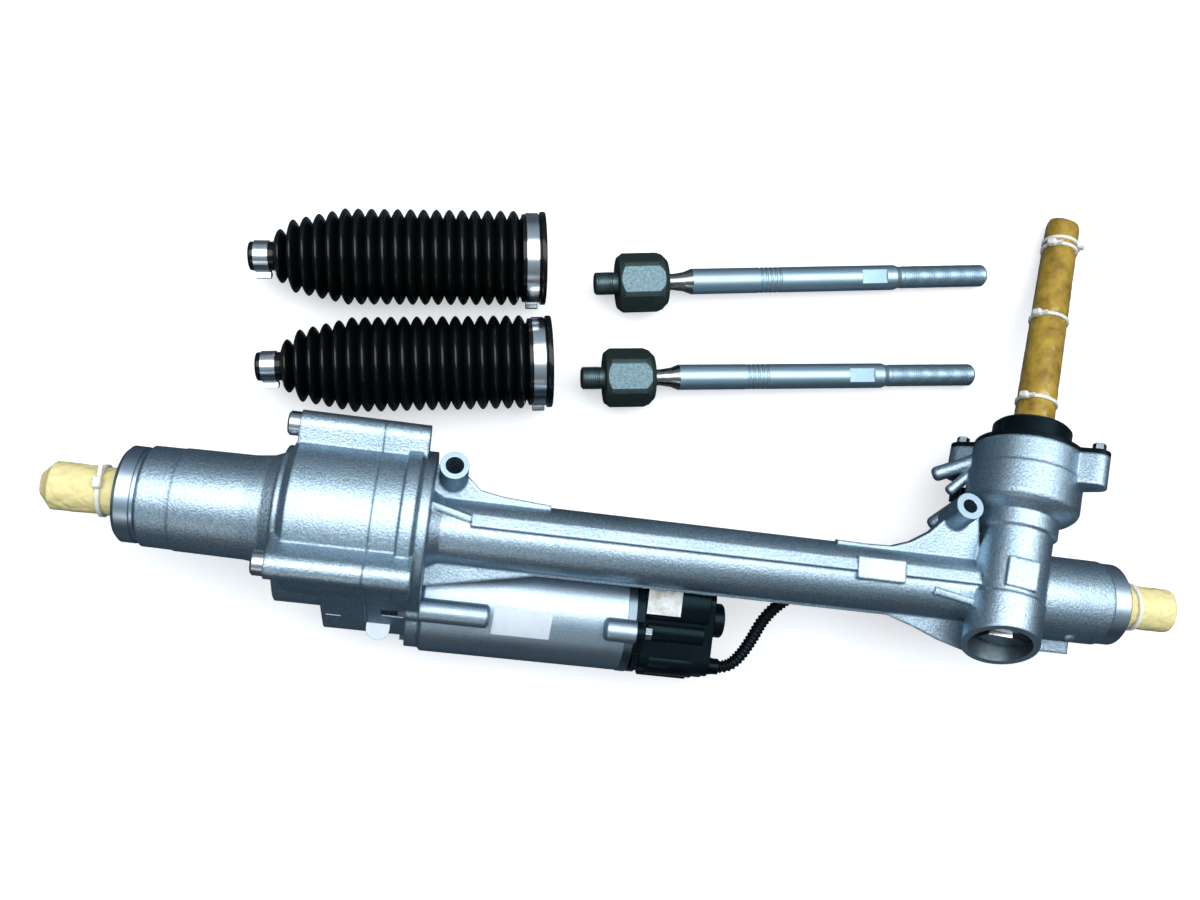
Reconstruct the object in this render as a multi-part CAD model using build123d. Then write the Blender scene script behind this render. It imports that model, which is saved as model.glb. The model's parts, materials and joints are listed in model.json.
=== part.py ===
"""Belt-driven electric steering rack, laid out on a bench with its bellows and inner tie rods.

X runs along the rack bar, +Z is up from the bench. Every piece is a solid of its own.
All lengths are in millimetres and all angles in degrees.
"""

from build123d import *
import math
import os

# Driving dimensions: where the axes lie
RACK_HEIGHT = 80.0
MOTOR_OFFSET_Y = -52.0
MOTOR_OFFSET_Z = -41.5
PINION_STATION = 256.0
PINION_LEAN_SIDEWAYS = 10.6
PINION_LEAN_DOWN = 17.2

# Rack bar
RACK_RADIUS = 13.7
RACK_LEFT_END = -387.5
RACK_RIGHT_END = 385.0
RACK_TRAVEL = 68.0
TOOTH_MODULE = 2.2
PINION_TEETH = 8
RACK_TEETH = 25
RACK_PITCH_HEIGHT = 9.3
PRESSURE_ANGLE = math.radians(20)
PROFILE_SHIFT = 0.77
BACKLASH = 0.3
RACK_REACH = 0.88
RACK_ROOT_DEPTH = 3.3
PINION_TIP = 11.0
PINION_ROOT = 7.5
FLANK_POINTS = 5
TOOTH_GAP_LENGTH = 40.0
TOOTH_GAP_TOP = 2.0
RACK_END_THREAD_RADIUS = 7.0
RACK_END_THREAD_DEPTH = 28.0

# Running fits, gaps and broken edges
EDGE_BREAK = 1.5
SMALL_BREAK = 1.0
HEAD_BREAK = 1.2
RUNNING_FIT = 0.05
SCREW_FIT = 0.1
FREE_GAP = 0.5

# Left housing, which carries the ball nut and closes the belt case
LEFT_END_FACE = -343.0
LEFT_SEAT_WIDTH = 11.0
LEFT_GROOVE_END = 13.5
LEFT_STEP_END = 15.6
LEFT_LINE = -308.0
CASING_RADIUS = 34.5
SEAT_RADIUS = 31.5
CASING_BORE = 25.0
CASING_BORE_END = -268.0
NECK_BORE = 17.5
CASE_LEFT = -238.0
CASE_SEAM = -182.0
CASE_RIGHT = -153.0
CASE_RADIUS = 52.0
CASE_RIM_RADIUS = 55.0
CASE_RIM_LEFT = -164.0
LOBE_LEFT = -212.0
BELT_SPACE_LEFT = -206.0
BELT_SPACE_RIGHT = -158.0
BELT_SPACE_MARGIN = 5.0
LOBE_RADIUS = 29.0

# Ball nut, its bearing and the belt drive
NUT_LEFT = -236.0
NUT_LENGTH = 68.0
NUT_RADIUS = 26.0
NUT_BEARING_RADIUS = 43.0
NUT_BEARING_WIDTH = 22.0
NUT_BEARING_RACE = 6.0
NUT_BALLS = 16
NUT_BALL_RADIUS = 4.6
LOCK_RING_WIDTH = 7.0
LOCK_RING_WALL = 9.0
LOCK_RING_SLOTS = 4
LOCK_RING_SLOT = (6.0, 7.0, 6.0)
NUT_SHOULDER = 3.5
PULLEY_FLANGE = 3.0
PULLEY_FLANGE_WIDTH = 1.4
NUT_PULLEY_RADIUS = 38.0
MOTOR_PULLEY_RADIUS = 16.0
PULLEY_LEFT = -203.0
PULLEY_WIDTH = 27.0
BELT_WIDTH = 24.0
BELT_THICKNESS = 2.4
BELT_GAP = 0.3

# Screws that join the two housings: angle and distance round the rack axis, station of the
# seat under the head, and radius of the boss
CASE_SCREWS = (
    (12.5, 60.0, -236.0, 9.5),
    (118.0, 60.0, -241.0, 9.5),
    (300.0, 60.0, -236.0, 9.5),
)
CASE_SCREW_RADIUS = 4.0
CASE_SCREW_HEAD_LENGTH = 8.0
CASE_HEAD_INSET = 1.5
LOBE_RIB = (-204.0, -57.0, 62.0)
LOBE_RIB_SIZE = (10.0, 20.0, 16.0)
LOBE_TAB = (-174.0, -66.0, 61.0)
LOBE_TAB_WIDTH = 16.0
LOBE_TAB_LENGTH = 18.0
LOBE_TAB_THICKNESS = 5.0
LOBE_TAB_REACH = 8.0
CASE_WEB_SPREAD = 1.3
CASE_HOLE_LEAD = 4.0

# Outlines of the castings' flares: distance from the case or the tube, and radius
LEFT_FLARE = ((26.0, 34.5), (14.0, 36.0), (7.0, 39.0), (2.0, 43.5), (0.0, 48.0))
TUBE_FLARE = ((0.0, 51.0), (3.0, 38.0), (6.0, 26.6), (14.0, 22.6))
SEAT_LEAD = 2.5
GROOVE_DEPTH = 1.2
TURNED_STEP = 0.5
RIM_LEAD = 3.0
CORNER_LEAD = 4.0

# The cheek between the casing and the belt lobe: y and height from the rack, and radius
CHEEK_CIRCLES = ((0.0, 0.0, 44.0), (-22.0, -18.0, 40.0))
CHEEK_DEPTH = 5.0

# Tube, fins and mounting eyelets
TUBE_RADIUS = 22.6
TUBE_BORE = 17.5
FIN_THICKNESS = 6.0
EYELET_RADIUS = 9.5
LEFT_EYELET_BORE = 6.0
RIGHT_EYELET_BORE = 5.0
EYELET_LENGTH = 30.0
EYELET_LEAN = 25.0
LEFT_EYELET = (-135.0, 44.3, 105.0)
RIGHT_EYELET = (217.0, 59.0, 105.0)

LOWER_FIN = [(-151.0, 0.0), (-151.0, -40.0), (-73.0, -24.5), (176.0, -24.5), (200.0, -32.0), (217.0, -38.7),
             (236.0, -44.0), (252.0, -49.0), (256.0, 0.0)]
LEFT_FIN = [(-151.0, 0.0), (-151.0, 42.0), (-137.0, 44.0), (-125.0, 37.0), (-116.0, 29.0), (-101.0, 26.4),
            (-68.0, 24.2), (-68.0, 0.0)]
RIGHT_FIN = [(132.0, 0.0), (133.0, 24.1), (156.0, 23.6), (173.0, 24.2), (186.0, 28.7), (199.0, 37.0),
             (208.4, 47.2), (215.0, 59.0), (232.0, 62.0), (240.0, 0.0)]

# Raised strips and ribs on the tube: centre, tilts about X and Z, and size
CAST_RIBS = (
    ((56.0, 9.0, 99.6), (-24.0, 0.0), (352.0, 9.0, 8.0)),
    ((160.0, 8.0, 101.6), (-12.0, 0.0), (34.0, 15.0, 8.0)),
    ((-131.0, 13.0, 94.0), (0.0, -14.0), (44.0, 4.5, 16.0)),
    ((225.0, -6.0, 98.0), (0.0, -10.0), (52.0, 4.5, 14.0)),
    ((313.0, -29.0, 61.0), (0.0, 0.0), (22.0, 24.0, 11.0)),
)
NECK_PAD_SIZE = (6.0, 20.5, 20.5)
NECK_PAD_STATION = 5.0
NECK_PAD_TURN = -9.0
NECK_PAD_RISE = 1.5
DOME_SHARE = 0.7
UPPER_FIN_RISE = 4.0

# Small bosses on the castings: foot, tip and radius
FLANK_ARMS = (
    ((241.0, 92.0, 59.0), (214.0, 77.5, 45.0), 5.5),
    ((237.0, 66.0, 67.0), (214.5, 39.7, 50.0), 5.5),
    ((238.0, 84.0, 60.0), (222.0, 66.0, 56.0), 4.0),
    ((305.0, -18.0, 86.0), (305.5, -25.5, 99.0), 4.3),
)

# Right end of the rack housing
RIGHT_END_FACE = 343.0
RIGHT_CASING_RADIUS = 30.0
RIGHT_SEAT_RADIUS = 29.0
RIGHT_SEAT_WIDTH = 13.0
RIGHT_BORE = 22.0
RIGHT_BORE_START = 281.0

# Pinion tower, as stations along the pinion axis from the mesh with the rack
TOWER_FOOT = -51.0
FOOT_MOUTH = -41.5
FOOT_MOUTH_SLANT = 19.0
FOOT_RADIUS = 25.5
FOOT_STEP = -8.5
TOWER_NECK_RADIUS = 24.5
TOWER_NECK_STEP = 39.0
TOWER_NECK_COLLAR = 27.0
TOWER_NECK_TOP = 50.5
SENSOR_CASE_BASE = 59.5
SENSOR_CASE_SEAM = 82.3
SENSOR_CASE_TOP = 101.0
SENSOR_CASE_RADIUS = 39.0
SENSOR_CASE_FLARE = ((9.0, -7.5), (3.5, -4.0), (1.0, -1.5), (0.0, 1.0))
SEAM_STEP = 0.8
SENSOR_BORE = 34.0
FOOT_BORE = 21.0
END_PLUG_DISC = 7.0
END_PLUG_LENGTH = 12.0
END_PLUG_FLATS = 26.0
END_PLUG_RING = 17.0
FOOT_BORE_TOP = -26.0
LOWER_BEARING_RADIUS = 16.0
LOWER_BEARING_WIDTH = 10.0
LOWER_JOURNAL = 7.5
UPPER_BEARING_RADIUS = 19.5
UPPER_BEARING_WIDTH = 13.0
UPPER_BEARING_BASE = 24.0
UPPER_JOURNAL = 11.0
PINION_FACE = 30.0
PINION_BORE = 12.8
PINION_TOP = 58.5
SENSOR_FLOOR = 59.0
INPUT_RADIUS = 9.5
INPUT_END = 296.0
TORSION_RADIUS = 3.0
COVER_FLANGE = 3.5
COVER_COLLAR_RADIUS = 27.5
COVER_COLLAR_BASE = 109.0
COVER_COLLAR_TOP = 122.5
COLLAR_LEAD = 2.0
COVER_EAR_DISTANCE = 47.0
COVER_EAR_RADIUS = 8.0
COVER_EAR_ANGLES = (47.0, 145.0, 235.0)
COVER_EAR_HEIGHT = 23.0
EAR_ROOT = 0.68
EAR_SPREAD = 1.3
EAR_HOLE_FLOOR = 6.0
SHAFT_WRAP_BASE = 14.3
SHAFT_WRAP_END = 12.0
SHAFT_WRAP_TIP = 300.5
SHAFT_TIE_STATIONS = (143.0, 212.5, 274.5, 280.5)

COVER_SCREW_RADIUS = 2.6
WASHER_RADIUS = 5.6
WASHER_HEIGHT = 1.2
INPUT_BEARING_RADIUS = 14.0
INPUT_BEARING_BASE = 104.5
SENSOR_MAGNET_RADIUS = 18.0
PINION_FOOT = -25.5
SPIGOT_RADIUS = 6.0
SPIGOT_FOOT = 46.0
TORSION_FOOT = 18.0
TORSION_TOP = 112.0
TORSION_GRIP = 14.0

# Yoke that holds the rack against the pinion
YOKE_RADIUS = 17.5
YOKE_BACK = 33.0
YOKE_PLUG_LENGTH = 9.0
YOKE_BOSS_WALL = 5.0
YOKE_BOSS_LENGTH = 44.0
YOKE_BORE_START = 3.0
YOKE_CLEARANCE = 2.5
YOKE_POCKET_RADIUS = 9.0
YOKE_POCKET_DEPTH = 6.0
YOKE_SOCKET_FLATS = 14.0
YOKE_SPIGOT_RADIUS = 7.5
YOKE_SPIGOT_HEIGHT = 1.2
DISC_SPRING_PROFILE = ((4.5, 0.0), (8.6, 1.8), (8.6, 3.0), (4.5, 4.8), (3.2, 4.8), (6.8, 2.4), (3.2, 0.0))

# Motor and control unit
MOTOR_LEFT = -147.0
MOTOR_RIGHT = 1.0
MOTOR_RADIUS = 38.5
MOTOR_WALL = 2.5
MOTOR_LEAD = 2.0
MOTOR_END_WALL = 6.0
MOTOR_SHAFT_RADIUS = 5.0
MOTOR_BEARING_RADIUS = 13.0
MOTOR_BEARING_WIDTH = 9.0
ROTOR_RADIUS = 20.0
ROTOR_LEFT = -120.0
ROTOR_RIGHT = -38.0
AIR_GAP = 0.8
STATOR_TEETH = 12
MOTOR_BOSS_RADIUS = 8.0
MOTOR_BOSS_CIRCLE = 39.5
MOTOR_BOSS_ANGLES = (95.5, 215.5, 335.5)
MOTOR_LONG_BOSS = 47.0
MOTOR_SHORT_BOSS = 22.0
MOTOR_SCREW_RADIUS = 3.0
MOTOR_SCREW_POCKET = 7.0
MOTOR_PAD_LENGTH = 9.0
MOTOR_PAD_ROOT = 0.7
MOTOR_POCKET_LENGTH = 16.0
MOTOR_HUB_WALL = 4.0
MOTOR_HUB_LENGTH = 12.0
MOTOR_BOSS_ROUND = 0.4
LONG_THREAD = 22.0
SHORT_THREAD = 16.0
MOTOR_HEAD_FLATS = 10.0
UNIT_HEAD_FLATS = 8.0
SCREW_HEAD_HEIGHT = 5.0
STATOR_YOKE = 6.0
END_TURN = 8.0
COIL_INSET = 2.0
SLOT_OPENING = 0.4
STATOR_SLOT = 5.0
UNIT_BEARING_LEFT = -11.0
UNIT_PLATE_WIDTH = 6.0
UNIT_WIDTH = 64.0
UNIT_HEIGHT = 66.0
UNIT_LENGTH = 50.0
UNIT_WALL = 3.0
UNIT_CORNER = 12.0
PLUG_LEFT = 46.0
PLUG_Y = -83.0
PLUG_Z = 31.0
PLUG_RADIUS = 8.4
PLUG_GAP = 1.2
PLUG_PROFILE = ((0.0, 9.0), (14.0, 9.0), (16.0, 6.9), (24.0, 5.8))
LATCH_SLOT = (20.0, 9.0, 6.0)
LATCH_SIZE = (11.0, 7.0, 3.0)
HEADER_START = 20.0
HEADER_WALL_START = 15.0
UNIT_NOTCH = 14.0
BOARD_STATION = 12.0
BOARD_THICKNESS = 2.0
BOARD_INSET = 10.0
POST_INSET = 14.0
POST_RADIUS = 2.5
SOCKET_OUTER = 12.0
SOCKET_INNER = 10.0
SOCKET_LENGTH_OUT = 7.5
SOCKET_FLOOR = 1.0
SOCKET_OFFSET_Y = 7.4
SOCKET_OFFSET_Z = 21.5
UNIT_OFFSET_Y = -1.0

# Sensor cable
CABLE_RADIUS = 4.6
CABLE_ROUTE = [
    (74.0, -83.0, 31.0),
    (81.0, -82.0, 31.5),
    (88.5, -72.5, 35.0),
    (94.5, -58.0, 39.5),
    (99.0, -44.0, 43.0),
    (107.5, -32.0, 45.0),
    (120.0, -21.5, 45.5),
    (138.0, -11.0, 45.0),
    (160.0, -3.0, 44.0),
    (184.0, 2.0, 43.5),
    (205.0, 10.0, 43.5),
    (222.0, 22.0, 44.0),
    (234.0, 37.0, 45.0),
    (239.5, 49.0, 45.7),
    (240.0, 59.0, 46.0),
]
CONNECTOR_WIDTH = 17.0
CONNECTOR_LENGTH = 12.0
CONNECTOR_HEIGHT = 16.0
CONNECTOR_ROUND = 2.5
CABLE_START_GAP = 1.0
ARC_SHARE = 0.45

# Rack end wrapping
WRAP_OUTSIDE = 15.9
WRAP_LENGTH_LEFT = 52.0
WRAP_LENGTH_RIGHT = 46.0
WRAP_TIE_STATIONS = ((-356.0, 160.0), (358.0, 200.0))
WRAP_CAP = 4.0
TIE_WIDTH = 3.0
TIE_THICKNESS = 1.4
TIE_HEAD = (3.2, 5.5, 5.0)
SHAFT_TIE_ANGLE = 30.0
WRAP_TIP_LENGTH = 6.0
WRAP_TIP_INSET = 3.5

# Bellows
BELLOWS_FOLDS = 19
BELLOWS_LENGTH = 206.0
BELLOWS_RADIUS = 33.5
BELLOWS_ROOT = 27.5
BELLOWS_WALL = 1.6
BELLOWS_BIG_COLLAR = 31.2
BELLOWS_SMALL_COLLAR = 10.0
BELLOWS_FIRST_CRESTS = (0.56, 0.76, 0.82, 0.88, 0.94)
CREST_START = 0.38
CREST_END = 0.55
LIP_HEIGHT = 1.8
LIP_WIDTH = 3.5
COLLAR_STEP = 1.5
BIG_COLLAR_LENGTH = 18.0
SMALL_COLLAR_LENGTH = 17.0
BIG_CLAMP_WIDTH = 9.0
SMALL_CLAMP_WIDTH = 8.0
CLAMP_THICKNESS = 0.9
BIG_EAR_ANGLE = 200.0
SMALL_EAR_ANGLE = 215.0
EAR_SIZE = (4.5, 7.5, 7.0)
BELLOWS_PLACES = {
    "left": ((-295.0, 170.0), 7.7),
    "right": ((-281.0, 94.0), 8.6),
}

# Inner tie rods
SOCKET_ACROSS_FLATS = 39.6
SOCKET_ROUND = 21.8
SOCKET_LENGTH = 37.0
SOCKET_LEAD = 4.0
SOCKET_FACE_BACK = 18.8
SOCKET_FACE_FRONT = 16.3
STUD_RADIUS = 8.0
STUD_LENGTH = 17.0
BALL_CENTRE = 21.0
BALL_RADIUS = 14.5
BALL_SEAT_WALL = 1.4
SEAT_TOP = 12.0
MOUTH_GAP = 0.6
MOUTH_START = 4.0
ROD_SWING = 20.0
ROD_REST_TIP = 3.0
NECK_RADIUS = 6.0
ROD_RADIUS = 9.5
ROD_START = 56.0
ROD_THREAD_START = 220.0
ROD_THREAD_RADIUS = 8.0
ROD_END = 291.0
ROD_RINGS = 5
ROD_RING_START = 52.0
ROD_RING_PITCH = 3.6
ROD_RING_DEPTH = 0.6
ROD_RING_WIDTH = 2.0
NECK_PROFILE = ((35.0, 6.0), (14.0, 6.0), (6.0, 7.2), (0.0, 9.5))
WRENCH_FLATS = 16.0
FLAT_LENGTH = 20.0
FLAT_INSET = 22.0
TIE_ROD_PLACES = {
    "left": ((-35.0, 189.7), 9.6),
    "right": ((-36.0, 119.0), 8.1),
}

# Sizes worked out from the driving dimensions
MOTOR_Y = MOTOR_OFFSET_Y
MOTOR_Z = RACK_HEIGHT + MOTOR_OFFSET_Z
PITCH_RADIUS = TOOTH_MODULE * PINION_TEETH / 2
TOOTH_PITCH = math.pi * TOOTH_MODULE
MESH_OFFSET = RACK_PITCH_HEIGHT + PITCH_RADIUS
LEAN = math.radians(PINION_LEAN_SIDEWAYS)
DROP = math.radians(PINION_LEAN_DOWN)
ACROSS = Vector(0, math.cos(DROP), -math.sin(DROP))
UPWARD = Vector(0, math.sin(DROP), math.cos(DROP))
PINION_DIRECTION = ACROSS * math.cos(LEAN) + Vector(math.sin(LEAN), 0, 0)
RACK_POINT = Vector(PINION_STATION, 0, RACK_HEIGHT)
MESH_POINT = RACK_POINT + UPWARD * MESH_OFFSET
TOWER = Plane(origin=MESH_POINT, x_dir=UPWARD, z_dir=PINION_DIRECTION)
YOKE_PLANE = Plane(origin=RACK_POINT, x_dir=(1, 0, 0), z_dir=-UPWARD)
NUT_RIGHT = NUT_LEFT + NUT_LENGTH
PULLEY_RIGHT = PULLEY_LEFT + PULLEY_WIDTH
BEARING_RIGHT = NUT_LEFT + NUT_BEARING_WIDTH
BELT_MIDDLE = (PULLEY_LEFT + PULLEY_RIGHT) / 2

def rod_x(radius, start, end, y=0.0, z=RACK_HEIGHT):
    """A round bar along the rack's direction."""
    middle = (start + end) / 2
    return Pos(middle, y, z) * Rot(0, 90, 0) * Cylinder(radius, end - start)


def ring_x(outer, inner, start, end, y=0.0, z=RACK_HEIGHT):
    """A round sleeve along the rack's direction."""
    return rod_x(outer, start, end, y, z) - rod_x(inner, start, end, y, z)


def tower_rod(radius, start, end):
    """A round bar on the pinion axis."""
    return TOWER * Pos(0, 0, (start + end) / 2) * Cylinder(radius, end - start)


def tower_ring(outer, inner, start, end):
    """A round sleeve on the pinion axis."""
    return tower_rod(outer, start, end) - tower_rod(inner, start, end)


def turned(points):
    """A turned solid about Z, from its (radius, height) outline."""
    outline = Polyline(*[(radius, height) for radius, height in points], close=True)
    return revolve(Plane.XZ * make_face(outline), Axis.Z)


def turned_x(points, y=0.0, z=RACK_HEIGHT):
    """A turned solid along X, from its (radius, station) outline."""
    return Pos(0, y, z) * Rot(0, 90, 0) * turned(points)


def hull_of_circles(circles, start, end):
    """A prism along X whose outline runs tangent round circles given as (y, z, radius)."""
    edges = []
    for y, z, radius in circles:
        edges += (Pos(y, z) * Circle(radius)).edges()
    return extrude(Plane.YZ.offset(start) * make_hull(edges), end - start)


def round_the_motor(angle, distance):
    """A point round the motor axis, as (y, z)."""
    turn = math.radians(angle)
    return MOTOR_Y + distance * math.cos(turn), MOTOR_Z + distance * math.sin(turn)


def round_the_rack(angle, distance):
    """A point round the rack axis, as (y, z)."""
    turn = math.radians(angle)
    return distance * math.cos(turn), RACK_HEIGHT + distance * math.sin(turn)


def hex_prism(across_flats, length):
    """A hexagonal bar from the origin up +Z."""
    return extrude(RegularPolygon(across_flats / 2, 6, major_radius=False), length)


def joined(pieces):
    """One solid made of overlapping pieces."""
    first = pieces[0]
    return first.fuse(*pieces[1:]).clean() if len(pieces) > 1 else first


def belt_run(allowance, start, end):
    """The space round both pulleys and the belt, grown by an allowance."""
    circles = [
        (0.0, RACK_HEIGHT, NUT_PULLEY_RADIUS + allowance),
        (MOTOR_Y, MOTOR_Z, MOTOR_PULLEY_RADIUS + allowance),
    ]
    return hull_of_circles(circles, start, end)


def case_screw_place(screw):
    """Where one housing screw's axis lies, as (y, z)."""
    angle, distance, seat, boss = screw
    return round_the_rack(angle, distance)


def screw_boss(screw, start, end):
    """A housing screw boss with its web into the belt case."""
    angle, distance, seat, boss = screw
    y, z = case_screw_place(screw)
    root_y, root_z = round_the_rack(angle, distance - 2 * boss + 1)
    return hull_of_circles([(y, z, boss), (root_y, root_z, boss * CASE_WEB_SPREAD)], max(start, seat), end)


def screw_passages(start, end):
    """The screw holes through the belt case bosses."""
    places = [case_screw_place(screw) for screw in CASE_SCREWS]
    return [rod_x(CASE_SCREW_RADIUS, start, end, y, z) for y, z in places]


def left_housing():
    """The casing at the left end, which widens into the left half of the belt case."""
    casing = turned_x([
        (0, LEFT_END_FACE),
        (SEAT_RADIUS - SEAT_LEAD, LEFT_END_FACE),
        (SEAT_RADIUS, LEFT_END_FACE + SEAT_LEAD),
        (SEAT_RADIUS, LEFT_END_FACE + LEFT_SEAT_WIDTH),
        (SEAT_RADIUS - GROOVE_DEPTH, LEFT_END_FACE + LEFT_SEAT_WIDTH + TURNED_STEP),
        (SEAT_RADIUS - GROOVE_DEPTH, LEFT_END_FACE + LEFT_GROOVE_END),
        (CASING_RADIUS - EDGE_BREAK, LEFT_END_FACE + LEFT_STEP_END),
        (CASING_RADIUS - GROOVE_DEPTH, LEFT_LINE),
        (CASING_RADIUS - GROOVE_DEPTH + TURNED_STEP, LEFT_LINE + TURNED_STEP),
    ] + [(radius, CASE_LEFT - distance) for distance, radius in LEFT_FLARE] + [
        (CASE_RADIUS, CASE_LEFT + CORNER_LEAD),
        (CASE_RADIUS, CASE_SEAM),
        (0, CASE_SEAM),
    ])
    circles = [(y, RACK_HEIGHT + height, radius) for y, height, radius in CHEEK_CIRCLES]
    cheek = hull_of_circles(circles, CASE_LEFT - CHEEK_DEPTH, LOBE_LEFT)
    lobe = belt_run(LOBE_RADIUS - MOTOR_PULLEY_RADIUS, LOBE_LEFT, CASE_SEAM)
    bosses = [screw_boss(screw, LEFT_END_FACE, CASE_SEAM) for screw in CASE_SCREWS]
    rib = Pos(*LOBE_RIB) * Box(*LOBE_RIB_SIZE)
    body = joined([casing, cheek, lobe, rib] + bosses)
    body -= rod_x(CASING_BORE, LEFT_END_FACE, CASING_BORE_END)
    body -= rod_x(NECK_BORE, CASING_BORE_END, NUT_LEFT)
    body -= rod_x(NUT_BEARING_RADIUS, NUT_LEFT, BELT_SPACE_LEFT + 1)
    body -= belt_run(BELT_SPACE_MARGIN, BELT_SPACE_LEFT, CASE_SEAM)
    for passage in screw_passages(CASE_LEFT - CASE_HOLE_LEAD, CASE_SEAM):
        body -= passage
    return body


def eyelet(place, bore_radius):
    """A leaning mounting eye: its barrel and its bore, with the top at the given place."""
    lean = math.radians(EYELET_LEAN)
    upward = Vector(0, math.sin(lean), math.cos(lean))
    plane = Plane(origin=Vector(*place) - upward * EYELET_LENGTH, x_dir=(1, 0, 0), z_dir=upward)
    barrel = plane * Pos(0, 0, EYELET_LENGTH / 2) * Cylinder(EYELET_RADIUS, EYELET_LENGTH)
    bore = plane * Pos(0, 0, EYELET_LENGTH / 2) * Cylinder(bore_radius, EYELET_LENGTH + 1)
    return barrel, bore


def fin(points, height):
    """A flat web cast along the tube, from its outline seen from above."""
    outline = make_face(Polyline(*points, close=True))
    return extrude(Plane.XY.offset(height - FIN_THICKNESS / 2) * outline, FIN_THICKNESS)


def tower_body():
    """The turned body round the pinion and the torque sensor."""
    neck = TOWER_NECK_RADIUS
    case = SENSOR_CASE_RADIUS
    outline = [
        (0, TOWER_FOOT),
        (FOOT_RADIUS, TOWER_FOOT),
        (FOOT_RADIUS, FOOT_STEP - SMALL_BREAK),
        (neck, FOOT_STEP + TURNED_STEP),
        (neck, TOWER_NECK_STEP - SMALL_BREAK),
        (TOWER_NECK_COLLAR, TOWER_NECK_STEP + SMALL_BREAK),
        (TOWER_NECK_COLLAR, TOWER_NECK_TOP),
    ] + [(case - inset, SENSOR_CASE_BASE + station) for inset, station in SENSOR_CASE_FLARE] + [
        (case, SENSOR_CASE_SEAM),
        (case - SEAM_STEP, SENSOR_CASE_SEAM + SEAM_STEP),
        (case - SEAM_STEP, SENSOR_CASE_TOP),
        (0, SENSOR_CASE_TOP),
    ]
    return TOWER * turned(outline)


def tower_ear(angle, radius, start, end):
    """A round ear beside the sensor case, webbed into its wall."""
    turn = math.radians(angle)
    far = (COVER_EAR_DISTANCE * math.cos(turn), COVER_EAR_DISTANCE * math.sin(turn))
    near = (far[0] * EAR_ROOT, far[1] * EAR_ROOT)
    edges = (Pos(*far) * Circle(radius)).edges() + (Pos(*near) * Circle(radius * EAR_SPREAD)).edges()
    return extrude(TOWER.offset(start) * make_hull(edges), end - start)


def stub(foot, tip, radius):
    """A round boss between two points, with a domed tip."""
    axis = tip - foot
    rod = Plane(origin=foot, z_dir=axis) * Pos(0, 0, axis.length / 2) * Cylinder(radius, axis.length)
    return fillet(rod.edges().sort_by_distance(tip)[0], radius * DOME_SHARE)


def foot_opening():
    """What the slanted mouth at the tower's foot takes away."""
    depth = FOOT_RADIUS * 1.6
    cutter = Pos(0, 0, -depth / 2) * Cylinder(FOOT_RADIUS * 1.5, depth)
    return TOWER * Pos(0, 0, FOOT_MOUTH) * Rot(0, -FOOT_MOUTH_SLANT, 0) * cutter


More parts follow.
